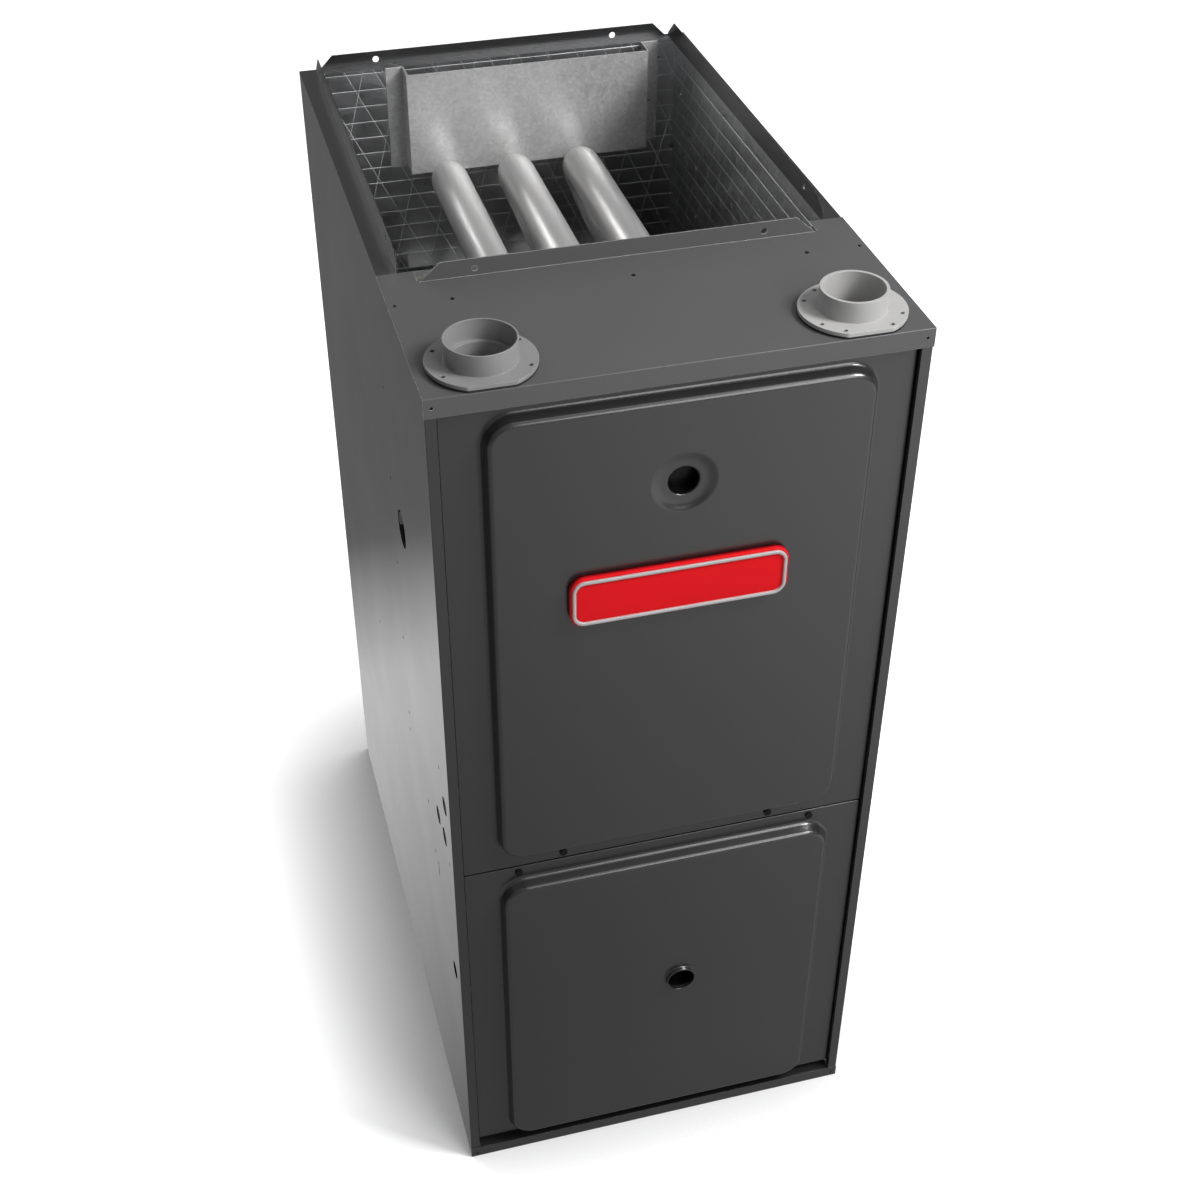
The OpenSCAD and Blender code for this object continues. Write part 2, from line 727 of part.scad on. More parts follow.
module rear_baffle() {
  z1 = z_ledge - baffle_drop;
  z0 = z1 - baffle_h;
  y1 = liner_back_y;
  y0 = y1 - baffle_d;
  half = baffle_w / 2;
  color(galvanised) difference() {
    union() {
      block(baffle_x - half, baffle_x + half, y0, y0 + sheet_t, z0, z1);
      for (s = [-1, 1]) {
        block(baffle_x + s * half - (s > 0 ? sheet_t : 0),
              baffle_x + s * half + (s > 0 ? 0 : sheet_t), y0, y1, z0, z1);
        block(baffle_x + (s > 0 ? half - sheet_t : -half - baffle_flange),
              baffle_x + (s > 0 ? half + baffle_flange : -half + sheet_t),
              y1 - sheet_t, y1, z0, z1);
      }
    }
    for (s = [-1, 1])
      bar_y(baffle_x + s * (half + baffle_flange / 2), y1 - 2, y1 + 1, z0 + 47, 1.6);
  }
}

// ---------------------------------------------------------------- heat exchanger

// A return bend that starts at its place and leans by its sine, down from there
module return_bend(x, y, z, r, lean, a0, a1) {
  multmatrix([[lean_cos, 0, lean, x], [0, 1, 0, y], [-lean, 0, lean_cos, z], [0, 0, 0, 1]])
    bend_yz(0, 0, -bend_r, bend_r, r, a0, a1);
}

// The whole run of one serpentine tube, as a solid of radius r
module tube_run(x, r, y_start, y_end) {
  bar_y(x, y_start, rear_bend_y, fired_z, r);
  return_bend(x, rear_bend_y, fired_z, r, -lean_sin, -90, 90);
  bar_y(x + pass_shift, front_bend_y, rear_bend_y, second_z, r);
  return_bend(x + pass_shift, front_bend_y, second_z, r, lean_sin, 90, 270);
  bar_y(x, front_bend_y, y_end, third_z, r);
}

module heat_tube(x) {
  color(tube_metal) difference() {
    union() {
      tube_run(x, tube_r, panel_y - 1.5, collector_y0 + 4);
      // flared mouth, seated on the front of the vestibule panel
      bar_y(x, panel_y - 1.5, panel_y, fired_z, tube_r + 4);
    }
    tube_run(x, tube_r - tube_wall, panel_y - 3, collector_y0 + 6);
  }
}

module heat_tube_left() { heat_tube(-tube_pitch); }
module heat_tube_centre() { heat_tube(0); }
module heat_tube_right() { heat_tube(tube_pitch); }

// Box that gathers the three tubes and feeds the condensing coil below
module collector_box() {
  z1 = third_z + tube_r + 12;
  wall = 1.5;
  color(tube_metal) difference() {
    block(-collector_x, collector_x, collector_y0, collector_y1, coil_z0, z1);
    block(-collector_x + wall, collector_x - wall, collector_y0 + wall, collector_y1 - wall,
          coil_z0 + wall, z1 - wall);
    for (i = [-1, 0, 1])
      bar_y(i * tube_pitch, collector_y0 - 1, collector_y0 + wall + 1, third_z,
            tube_r + tube_seat);
    block(-collector_x + 8, collector_x - 8, collector_y0 - 1, collector_y0 + wall + 1,
          coil_z0 + 6, coil_z1 - 6);
  }
}

// Finned condensing coil in its casing: air passes up between the fins
module condensing_coil() {
  y0 = panel_back + liner_t + 4;
  y1 = collector_y0;
  tubes = 7;
  pitch = 2 * (collector_x - 22) / (tubes - 1);
  fins = floor((y1 - y0 - 10) / fin_pitch);
  casing_t = 1.5;
  color(tube_metal) {
    // tube plates: the front one closes the vestibule window
    block(-coil_x, coil_x, panel_back - sheet_t + 0.1, panel_back + casing_t, coil_z0, coil_z1);
    block(-coil_x, coil_x, y1 - casing_t, y1, coil_z0, coil_z1);
    for (x = [-coil_x, coil_x - casing_t])
      block(x, x + casing_t, panel_back + 1, y1 - 1, coil_z0, coil_z1);
    for (row = [-1, 1], i = [0 : tubes - 1])
      bar_y((i - (tubes - 1) / 2) * pitch, panel_back + 1, y1 - 1, coil_z + row * 18, 6);
    for (k = [0 : fins])
      block(-coil_x + 1, coil_x - 1, y0 + 4 + k * fin_pitch, y0 + 4.8 + k * fin_pitch,
            coil_z0 + 3, coil_z1 - 3);
  }
}

// Channels that carry the coil above the deck
module coil_rails() {
  y0 = panel_back + 6;
  y1 = collector_y0 - 6;
  color(galvanised) for (s = [-1, 1]) mirror([s < 0 ? 1 : 0, 0, 0]) {
    block(coil_x - 1.5, coil_x, y0, y1, deck_z, coil_z0);
    block(coil_x - 22, coil_x, y0, y1, deck_z, deck_z + 1.5);
    block(coil_x - 22, coil_x, y0, y1, coil_z0 - 1.5, coil_z0);
  }
}

// Moulded drain header in front of the coil
module cold_header() {
  wall = 3;
  x1 = coil_x + 8;
  z0 = coil_z0 - 8;
  z1 = coil_z1 + 8;
  color(black_plastic) difference() {
    union() {
      block(-x1, x1, header_y0, panel_y, z0, z1);
      for (x = [0 : 50 : 150])
        block(x - 2, x + 2, header_y0 - 3, header_y0 + 1, z0, z1);
      bar_z(drain_x, header_y0 + 14, z0 - 12, z0 + 1, 7);
      bar_z(hose_x, header_y0 + 14, z1 - 1, z1 + 12, 3);
    }
    block(-x1 + wall, x1 - wall, header_y0 + wall, panel_y + 1, z0 + wall, z1 - wall);
    bar_y(inducer_x, header_y0 - 4, header_y0 + wall + 1, inducer_z, 24);
    bar_z(drain_x, header_y0 + 14, z0 - 13, z0 + wall + 1, 4.5);
    bar_z(hose_x, header_y0 + 14, z1 - wall - 1, z1 + 13, 1.5);
  }
}

// ---------------------------------------------------------------- vents

module disc_outline(x) {
  translate([x, vent_centre_y]) intersection() {
    circle(disc_d / 2);
    translate([-disc_d, -disc_flat]) square([2 * disc_d, 2 * disc_d]);
  }
}

module exhaust_flange() {
  z0 = cabinet_h + gasket_t;
  z1 = cabinet_h + stub_h;
  bore_r = pipe_od / 2 - 4;
  color(vent_grey) difference() {
    union() {
      translate([0, 0, z0]) linear_extrude(disc_t) disc_outline(exhaust_x);
      bar_z(exhaust_x, vent_centre_y, z0, z1, pipe_od / 2 + 0.1 + socket_wall);
      bar_z(exhaust_x, vent_centre_y, vent_end_z, z0 + overlap, pipe_od / 2);
    }
    bar_z(exhaust_x, vent_centre_y, z1 - socket_depth, z1 + 1, pipe_od / 2 + 0.1);
    bar_z(exhaust_x, vent_centre_y, vent_end_z - 1, z1, bore_r);
    disc_holes(exhaust_x, z0 - 1, z0 + disc_t + 1, disc_hole_r);
  }
}

module intake_flange() {
  z0 = cabinet_h + gasket_t;
  z1 = cabinet_h + stub_h;
  color(intake_grey) difference() {
    union() {
      translate([0, 0, z0]) linear_extrude(disc_t) disc_outline(intake_x);
      bar_z(intake_x, vent_centre_y, vent_end_z, z1, pipe_od / 2);
    }
    bar_z(intake_x, vent_centre_y, vent_end_z - 1, z1 + 1, pipe_od / 2 - pipe_wall);
    disc_holes(intake_x, z0 - 1, z0 + disc_t + 1, disc_hole_r);
  }
}

module vent_gaskets() {
  color(black_plastic) for (x = [exhaust_x, intake_x])
    translate([0, 0, cabinet_h]) difference() {
      linear_extrude(gasket_t) disc_outline(x);
      bar_z(x, vent_centre_y, -1, gasket_t + 1, pipe_od / 2 + 0.8);
      translate([0, 0, -cabinet_h]) disc_holes(x, cabinet_h - 1, cabinet_h + gasket_t + 1, 2.1);
    }
}

// Exhaust riser: straight, two quarter bends towards the front, and straight to the flange
module exhaust_run(r, z0, z1) {
  bar_z(exhaust_x, outlet_y, z0, elbow_z, r);
  bend_yz(exhaust_x, outlet_y - vent_bend_r, elbow_z, vent_bend_r, r, 0, 90);
  bend_yz(exhaust_x, outlet_y - vent_bend_r, elbow_z + 2 * vent_bend_r, vent_bend_r, r, 180,
          270);
  bar_z(exhaust_x, vent_centre_y, elbow_z + 2 * vent_bend_r, z1, r);
}

module exhaust_pipe() {
  r = pipe_od / 2;
  top_z = elbow_z + 2 * vent_bend_r;
  color("gainsboro") difference() {
    union() {
      exhaust_run(r, riser_z, vent_end_z);
      bar_z(exhaust_x, outlet_y, riser_z, riser_z + 26, r + 2.5);
      bar_z(exhaust_x, outlet_y, elbow_z - 22, elbow_z - 1, r + 4);
      bar_z(exhaust_x, vent_centre_y, top_z + 1, top_z + 22, r + 4);
    }
    exhaust_run(r - pipe_wall, riser_z - 1, vent_end_z + 1);
  }
}

module intake_pipe() {
  color("gainsboro") difference() {
    bar_z(intake_x, vent_centre_y, vent_end_z - 36, vent_end_z, pipe_od / 2);
    bar_z(intake_x, vent_centre_y, vent_end_z - 37, vent_end_z + 1, pipe_od / 2 - pipe_wall);
  }
}

// ---------------------------------------------------------------- vent blower

// Scroll outline in the X-Z plane about its own centre, its outlet going up on the left
function inducer_outline(inset) = concat(
  [for (a = [0 : 15 : 270])
    let (r = inducer_scroll_r - inset + 22 * a / 270) [r * sin(a), r * cos(a)]],
  [
    [-inducer_scroll_r - 22 + inset, inducer_r + 42 + (inset > 0 ? 1 : 0)],
    [-inducer_scroll_r + 38 - inset, inducer_r + 42 + (inset > 0 ? 1 : 0)],
    [-inducer_scroll_r + 38 - inset, inducer_r - 1.3 * inset]
  ]
);

module inducer_housing() {
  wall = 3;
  color(black_plastic) difference() {
    union() {
      translate([inducer_x, 0, inducer_z]) slab_xz(inducer_y0, inducer_d)
        polygon(inducer_outline(0));
      // neck into the drain header
      bar_y(inducer_x, inducer_y1 - 1, inducer_y1 + 3, inducer_z, 23.8);
      // outlet collar
      bar_z(exhaust_x, outlet_y, inducer_z + inducer_r + 36, inducer_z + inducer_r + 42, 25);
    }
    translate([inducer_x, 0, inducer_z]) slab_xz(inducer_y0 + wall, inducer_d - 2 * wall)
      polygon(inducer_outline(wall));
    bar_y(inducer_x, inducer_y1 - wall - 1, inducer_y1 + 4, inducer_z, 20);
    bar_y(inducer_x, inducer_y0 - 1, inducer_y0 + wall + 1, inducer_z, inducer_shaft_r + 3);
  }
}

// Curved blades in the plane of the wheel, with the wheel's axis at the origin
module blades(count, r_out, depth, t) {
  r_in = r_out - depth;
  bow = depth * 0.7;
  for (i = [0 : count - 1]) rotate(i * 360 / count) intersection() {
    difference() {
      circle(r_out);
      circle(r_in);
    }
    translate([r_in + depth / 2, -bow * 0.5]) difference() {
      circle(bow + t / 2);
      circle(bow - t / 2);
    }
    translate([r_in - 2, 0]) square([depth + 6, bow]);
  }
}

module inducer_wheel() {
  y0 = inducer_y0 + 9;
  y1 = inducer_y1 - 10;
  color("dimgray") translate([inducer_x, 0, inducer_z]) {
    slab_xz(y0 + 1, y1 - y0 - 1) blades(20, inducer_r, 14, 1.2);
    slab_xz(y0, 1.5) circle(inducer_r + 0.4);
    slab_xz(y1 - 1.5, 1.5) difference() {
      circle(inducer_r + 0.4);
      circle(inducer_r - 14.4);
    }
    slab_xz(y0, 16) circle(10);
    bar_y(0, inducer_y0 - inducer_motor_len - 16, y0 + 14, 0, inducer_shaft_r);
  }
}

module inducer_motor() {
  y1 = inducer_y0;
  y0 = y1 - inducer_motor_len;
  color("silver") translate([inducer_x, 0, inducer_z]) difference() {
    union() {
      bar_y(0, y0 + 6, y1 - 6, 0, 38);
      slab_xz(y0 + 14, 18) rounded(88, 70, 8);
      bar_y(0, y0, y0 + 8, 0, 22);
      bar_y(0, y1 - 7, y1, 0, 26);
      for (a = [45 : 90 : 315])
        bar_y(33 * cos(a), y1 - 12, y1, 33 * sin(a), 4);
    }
    bar_y(0, y0 - 1, y1 + 1, 0, inducer_shaft_r + shaft_gap);
  }
}

// Cooling fan on the front end of the vent blower's shaft
module inducer_fan() {
  y0 = inducer_y0 - inducer_motor_len - 14;
  color("white") translate([inducer_x, 0, inducer_z]) difference() {
    union() {
      slab_xz(y0, 9) circle(11);
      slab_xz(y0 + 7, 1.5) circle(34);
      for (a = [0 : 45 : 315])
        rotate([0, a, 0]) block(9, 34, y0, y0 + 8, -0.8, 0.8);
    }
    bar_y(0, y0 - 1, y0 + 10, 0, inducer_shaft_r + 0.02);
  }
}

// ---------------------------------------------------------------- burners and gas train

module burner(x) {
  throat = burner_r * 0.62;
  color(galvanised) translate([x, 0, fired_z]) difference() {
    union() {
      bar_y(0, burner_y0 + 60, burner_y1, 0, burner_r);
      translate([0, burner_y0 + 40, 0]) rotate([-90, 0, 0])
        cylinder(h = 20 + overlap, r1 = throat, r2 = burner_r);
      bar_y(0, burner_y0 + 16, burner_y0 + 40 + overlap, 0, throat);
      translate([0, burner_y0, 0]) rotate([-90, 0, 0])
        cylinder(h = 16 + overlap, r1 = burner_r, r2 = throat);
      // mounting flange, on the back of the bracket's cross bar
      slab_xz(burner_y0 + 64, 1.2) square([46, 40], center = true);
    }
    bar_y(0, burner_y0 - 1, burner_y1 + 1, 0, throat - 1.5);
    bar_y(0, burner_y0 + 62, burner_y1 + 1, 0, burner_r - 1.5);
  }
}

module burners() {
  for (i = [-1, 0, 1]) burner(i * tube_pitch);
}

module burner_bracket() {
  z0 = fired_z - bracket_h / 2;
  z1 = fired_z + bracket_h / 2;
  bar_front = burner_y0 + 64 - bracket_t;
  color(galvanised) difference() {
    union() {
      // mounting plate, cross bar, sides and roof
      block(-bracket_x, bracket_x, panel_y - 3, panel_y - 1.8, z0, z1);
      block(-bracket_x, bracket_x, bar_front, bar_front + bracket_t, z0, z1);
      for (s = [-1, 1])
        block(s * bracket_x - bracket_t / 2, s * bracket_x + bracket_t / 2,
              manifold_y - manifold_d / 2 - 6, panel_y - 1.8, z0, z1);
      block(-bracket_x, bracket_x, bar_front, panel_y - 1.8, z1 - bracket_t, z1);
      // feet that stand the plate off the vestibule panel
      for (s = [-1, 1])
        block(s * (bracket_x - 8) - 6, s * (bracket_x - 8) + 6, panel_y - 2, panel_y, z0 + 2,
              z1 - 2);
    }
    for (i = [-1, 0, 1]) {
      bar_y(i * tube_pitch, panel_y - 4, panel_y - 1, fired_z, tube_r + 4.5);
      bar_y(i * tube_pitch, bar_front - 1, bar_front + bracket_t + 1, fired_z, burner_r + 1);
    }
    bar_x(-bracket_x - 2, bracket_x + 2, manifold_y, fired_z, manifold_d / 2 + 0.1);
    // holes for the igniter and the flame rod
    bar_x(-bracket_x - 2, bracket_x + 2, rod_y, rod_z, 2.6);
    for (x = rollout_x)
      bar_z(x, rollout_y, z1 - 2, z1 + 1, 8.2);
  }
}

module gas_manifold() {
  turn_r = 26;
  color("gray") difference() {
    union() {
      bar_x(-bracket_x - 6, valve_x - turn_r, manifold_y, fired_z, manifold_d / 2);
      bend_xz(valve_x - turn_r, manifold_y, fired_z - turn_r, turn_r, manifold_d / 2, 0, 90);
      bar_z(valve_x, manifold_y, valve_z1 + 18, fired_z - turn_r, manifold_d / 2);
      bar_x(-bracket_x - 11, -bracket_x - 3, manifold_y, fired_z, manifold_d / 2 + 3);
    }
    for (i = [-1, 0, 1])
      bar_y(i * tube_pitch, manifold_y + 2, manifold_y + manifold_d, fired_z, 4.05);
    bar_x(-bracket_x - 2, valve_x - turn_r, manifold_y, fired_z, manifold_d / 2 - 2.8);
    bend_xz(valve_x - turn_r, manifold_y, fired_z - turn_r, turn_r, manifold_d / 2 - 2.8, 0, 90);
    bar_z(valve_x, manifold_y, valve_z1 + 17, fired_z - turn_r, manifold_d / 2 - 2.8);
  }
}

// Brass orifices, one to each burner
module gas_orifices() {
  color(brass) for (i = [-1, 0, 1]) difference() {
    union() {
      bar_y(i * tube_pitch, manifold_y + manifold_d / 2 - 3, manifold_y + manifold_d / 2 + 2,
            fired_z, 4);
      translate([i * tube_pitch, manifold_y + manifold_d / 2, fired_z]) rotate([-90, 0, 0])
        cylinder(h = 6, r = 7, $fn = 6);
      bar_y(i * tube_pitch, manifold_y + manifold_d / 2 + 5,
            manifold_y + manifold_d / 2 + orifice_len - 2, fired_z, 4.5);
    }
    bar_y(i * tube_pitch, manifold_y, manifold_y + manifold_d, fired_z, 1.2);
  }
}

module gas_valve() {
  y0 = valve_y - 30;
  y1 = valve_y + 30;
  pivot_y = y0 - 5;
  pivot_z = valve_z0 + 46;
  color("gainsboro") difference() {
    union() {
      block(valve_x - valve_w / 2, valve_x + valve_w / 2, y0, y1, valve_z0, valve_z1);
      bar_z(valve_x, manifold_y, valve_z1 - 1, valve_z1 + 18, 15);
      bar_x(valve_x + valve_w / 2 - 1, valve_x + valve_w / 2 + 16, manifold_y, inlet_z, 15);
      // solenoid on the left, regulator cap beside the switch
      bar_x(valve_x - valve_w / 2 - 26, valve_x - valve_w / 2 + 1, valve_y, valve_z0 + 35, 17);
      bar_y(valve_x + 22, y0 - 8, y0 + 1, valve_z0 + 20, 9);
      // ears of the switch
      for (s = [-1, 1])
        block(valve_x - 14 + s * 8.5 - 1.5, valve_x - 14 + s * 8.5 + 1.5, y0 - 10, y0 + 1,
              pivot_z - 6, pivot_z + 6);
    }
    bar_x(valve_x + valve_w / 2 - 14, valve_x + valve_w / 2 + 17, manifold_y, inlet_z,
          gas_port_r);
    bar_x(valve_x - 30, valve_x + 2, pivot_y, pivot_z, 1.55);
  }
}

// Lever of the gas valve's on-off switch, shown at on
module gas_valve_switch() {
  y0 = valve_y - 30;
  pivot_y = y0 - 5;
  pivot_z = valve_z0 + 46;
  color("firebrick") {
    bar_x(valve_x - 14 - 6.6, valve_x - 14 + 6.6, pivot_y, pivot_z, 4.5);
    bar_x(valve_x - 14 - 9.8, valve_x - 14 + 9.8, pivot_y, pivot_z, 1.5);
    translate([valve_x - 14, pivot_y, pivot_z]) rotate([switch_swing / 2, 0, 0])
      block(-3, 3, -11, 0, -1.6, 1.6);
  }
}

// Hot-surface igniter, its ceramic foot on the bracket's right side
module igniter() {
  x0 = bracket_x + bracket_t / 2;
  y = burner_y1 - 6;
  color("ivory") block(x0, x0 + 12, y - 11, y + 5, fired_z - 12, fired_z + 12);
  color("gray") bar_x(tube_pitch + burner_r + 3, x0 + 1, rod_y, rod_z, 1.6);
}

// Flame rod on the bracket's left side
module flame_sensor() {
  x0 = -bracket_x - bracket_t / 2;
  y = burner_y1 - 6;
  color("ivory") block(x0 - 12, x0, y - 11, y + 5, fired_z - 12, fired_z + 12);
  color("gray") bar_x(x0 - 1, -tube_pitch - burner_r - 3, rod_y, rod_z, 1.6);
}

rollout_x = [-tube_pitch / 2, tube_pitch / 2];
rollout_y = burner_y1 - 28;
rollout_z = fired_z + bracket_h / 2;

module rollout_switches() {
  color("dimgray") for (x = rollout_x) difference() {
    union() {
      bar_z(x, rollout_y, rollout_z - 4, rollout_z + 8, 8);
      translate([0, 0, rollout_z]) linear_extrude(1.2) translate([x, rollout_y])
        rounded(32, 12, 5);
      bar_z(x, rollout_y, rollout_z + 7, rollout_z + 12, 4);
      for (s = [-1, 1])
        block(x + s * 5 - 0.4, x + s * 5 + 0.4, rollout_y - 3, rollout_y + 3, rollout_z + 7,
              rollout_z + 17);
    }
    bar_z(x, rollout_y, rollout_z + 6, rollout_z + 13, 2.45);
  }
}

module reset_button(x) {
  color("red") {
    bar_z(x, rollout_y, rollout_z + 6 + reset_travel + 0.3, rollout_z + 14, 2.4);
  }
}
module reset_button_left() { reset_button(rollout_x[0]); }
module reset_button_right() { reset_button(rollout_x[1]); }

limit_x = x_in - 59.35;
limit_z = coil_z1 + 90;

module limit_switch() {
  color("dimgray") {
    slab_xz(panel_y - 1.2, 1.2) translate([limit_x, limit_z]) rounded(44, 22, 5);
    bar_y(limit_x, panel_y - 12, panel_y - 1, limit_z, 9);
    bar_y(limit_x, panel_y - 1.3, panel_back + liner_t + 40, limit_z, 5);
    for (s = [-1, 1])
      block(limit_x + s * 5 - 0.4, limit_x + s * 5 + 0.4, panel_y - 20, panel_y - 11,
            limit_z - 3, limit_z + 3);
  }
}

hose_x = 88;
drain_x = 70;
pressure_x = hose_x;
pressure_z = coil_z1 + 78;

module pressure_switch() {
  y1 = panel_y - 18;
  color("slategray") {
    bar_y(pressure_x, y1 - 16, y1, pressure_z, 34);
    bar_y(pressure_x, y1 - 22, y1 - 15, pressure_z, 20);
    bar_y(pressure_x, y1 - 1, panel_y - 1.2, pressure_z, 6);
    block(pressure_x - 20, pressure_x + 20, panel_y - 1.3, panel_y, pressure_z - 20,
          pressure_z + 20);
    bar_z(pressure_x, y1 - 8, pressure_z - 42, pressure_z - 33, 3);
    for (s = [-1, 1])
      block(pressure_x + s * 9 - 0.4, pressure_x + s * 9 + 0.4, y1 - 31, y1 - 21,
            pressure_z - 3, pressure_z + 3);
  }
}

// Rubber hoses: header to pressure switch, and header to the condensate trap
module hoses() {
  header_top = coil_z1 + 8;
  hose_y = header_y0 + 14;
  trap_top = deck_z + 16 + 4;
  color([0.1, 0.1, 0.1]) {
    difference() {
      bar_z(hose_x, hose_y, header_top + 2, pressure_z - 36, 5);
      bar_z(hose_x, hose_y, header_top + 1, pressure_z - 35, 3.05);
    }
    difference() {
      bar_z(drain_x, hose_y, trap_top, coil_z0 - 8 - 1, 9.5);
      bar_z(drain_x, hose_y, trap_top - 1, coil_z0 - 8, 7.05);
    }
  }
}

module condensate_trap() {
  hose_y = header_y0 + 14;
  z1 = deck_z + 16;
  color(black_plastic) difference() {
    union() {
      block(drain_x - 22, drain_x + 62, hose_y - 20, hose_y + 12, deck_z, z1);
      bar_z(drain_x, hose_y, z1 - 1, z1 + 10, 7);
      bar_y(drain_x + 44, hose_y - 38, hose_y - 19, deck_z + 8, 6.5);
    }
    bar_z(drain_x, hose_y, z1 - 8, z1 + 11, 4.5);
    bar_y(drain_x + 44, hose_y - 39, hose_y - 10, deck_z + 8, 4.5);
  }
}

// Wiring box behind the lower side holes
module junction_box() {
  x0 = -deck_x;
  x1 = x0 + junction_w;
  y0 = y_wrap + junction_in;
  y1 = y0 + junction_d;
  z0 = deck_z + seat_gap;
  z1 = z0 + junction_h;
  wall = 1;
  color(galvanised) difference() {
    union() {
      block(x0, x1, y0, y1, z0, z1);
      // cover, lapped over the open side
      block(x1 - 4, x1 + wall, y0 - wall, y1 + wall, z0 + 1, z1 + wall);
      bar_x(x1, x1 + 2.5, (y0 + y1) / 2, z1 - 6, 3);
    }
    block(x0 + wall, x1 - wall, y0 + wall, y1 - wall, z0 + wall, z1 - wall);
    for (i = [1 : 3])
      bar_x(x0 - 1, x0 + 2, y_front + side_holes[i][0], side_holes[i][1], side_holes[i][2]);
  }
}

// ---------------------------------------------------------------- circulating blower

// Scroll outline in the Y-Z plane, its outlet up at the rear, drawn in by inset
function scroll_outline(inset, top) = concat(
  [for (a = [0 : 10 : 270])
    let (r = scroll_r0 - inset + scroll_grow * a / 270)
    [blower_y - r * sin(a), blower_z + r * cos(a)]],
  [
    [scroll_y1 - inset, top], [cutoff_y + inset, top],
    [cutoff_y + inset, blower_z + scroll_r0 - 3 - inset]
  ]
);

module blower_housing() {
  top = deck_under - 0.1;
  color(galvanised) difference() {
    union() {
      slab_yz(-housing_x, 2 * housing_x) polygon(scroll_outline(0, top));
      // flange that hangs on the deck's rails
      block(-housing_x - 15, housing_x + 15, cutoff_y - 8, scroll_y1 + 12, slide_z + 0.05,
            top);
    }
    slab_yz(-housing_x + housing_t, 2 * (housing_x - housing_t))
      polygon(scroll_outline(housing_t, top + 1));
    bar_x(-housing_x - 1, housing_x + 1, blower_y, blower_z, inlet_r);
  }
  // rolled inlet rings
  color(galvanised) for (s = [-1, 1]) mirror([s < 0 ? 1 : 0, 0, 0]) difference() {
    bar_x(housing_x - 13, housing_x - housing_t / 2, blower_y, blower_z, inlet_r + 1);
    bar_x(housing_x - 14, housing_x + 1, blower_y, blower_z, inlet_r - 0.2);
  }
}

module blower_wheel() {
  half = wheel_w / 2 - 4;
  hub_len = 34;
  color(galvanised) translate([0, blower_y, blower_z]) difference() {
    union() {
      slab_yz(-half, 2 * half) blades(blade_count, wheel_r, blade_d, 0.9);
      for (x = [-half, half - 2])
        slab_yz(x, 2) difference() {
          circle(wheel_r + 0.6);
          circle(wheel_r - blade_d + 12);
        }
      slab_yz(-hub_t / 2, hub_t) circle(wheel_r - 0.5);
      bar_x(-hub_len / 2, hub_len / 2, 0, 0, 16);
      bar_x(motor_x1 - 30, hub_len / 2 + 6, 0, 0, shaft_r);
    }
    // set-screw hole in the hub
    bar_z(11, 0, 4, 20, 3);
  }
}

module blower_motor() {
  color("dimgray") translate([0, blower_y, blower_z]) difference() {
    union() {
      bar_x(motor_x0 + 10, motor_x1 - 10, 0, 0, motor_r);
      for (x = [motor_x0, motor_x1 - 12])
        bar_x(x, x + 12, 0, 0, motor_r - 6);
      bar_x(motor_x1 - 1, motor_x1 + 6, 0, 0, 18);
    }
    bar_x(motor_x1 - 32, motor_x1 + 7, 0, 0, shaft_r + shaft_gap);
    // vent slots round both end shields
    for (a = [0 : 30 : 330], x = [motor_x0 - 1, motor_x1 - 5])
      rotate([a, 0, 0]) block(x, x + 6, -4, 4, motor_r - 26, motor_r - 14);
  }
}

// Belly band with three arms to the housing's side
module motor_bracket() {
  foot_r = inlet_r + 12;
  color(galvanised) translate([0, blower_y, blower_z]) {
    difference() {
      union() {
        bar_x(band_x - 10, band_x + 10, 0, 0, motor_r + 2.2);
        for (a = [90, 210, 330])
          rotate([a, 0, 0]) {
            block(band_x - 2, band_x + 2, -11, 11, motor_r, foot_r + 10);
            block(band_x - 2, -housing_x, -11, 11, foot_r + 8, foot_r + 10);
            block(-housing_x - 2, -housing_x, -11, 11, foot_r - 4, foot_r + 10);
          }
      }
      bar_x(band_x - 12, band_x + 12, 0, 0, motor_r + 0.05);
    }
  }
}

module capacitor() {
  w = capacitor_w;
  l = capacitor_l;
  x = housing_x + w / 2 + 2;
  y = blower_y - 0.67 * wheel_r;
  z = blower_z - 0.985 * wheel_r;
  strap_h = 0.3 * capacitor_h;
  top = z + capacitor_h / 2;
  color("silver") {
    translate([x, y, z - capacitor_h / 2]) linear_extrude(capacitor_h) rounded(w, l, w / 2 - 1);
    block(housing_x, housing_x + 3, y - l / 2 - 8, y + l / 2 + 8, z - strap_h / 2,
          z + strap_h / 2);
    translate([x, y, z - strap_h / 2]) difference() {
      linear_extrude(strap_h) rounded(w + 2.4, l + 2.4, w / 2);
      translate([0, 0, -1]) linear_extrude(strap_h + 2) rounded(w - 0.1, l - 0.1, w / 2 - 1.1);
    }
    for (s = [-1, 1]) block(x - 1, x + 1, y + s * 9 - 3, y + s * 9 + 3, top - 1, top + 9);
  }
}

// ---------------------------------------------------------------- controls

module control_bracket() {
  x0 = board_x - board_side / 2 - 20;
  x1 = transformer_x + transformer_h / 2 + 12;
  z0 = board_z - board_side / 2 - 10;
  z1 = board_z + board_side / 2 + 18;
  color(galvanised) {
    block(x0, x1, bracket_y, bracket_y + sheet_t, z0, z1);
    block(x0, x1, bracket_y, bracket_y + 12, z0, z0 + sheet_t);
    for (x = [x0, x1 - 24]) {
      block(x, x + 24, bracket_y, bracket_y + sheet_t, z1 - overlap, deck_under);
      block(x, x + 24, bracket_y, bracket_y + 22, deck_under - sheet_t, deck_under);
    }
  }
}

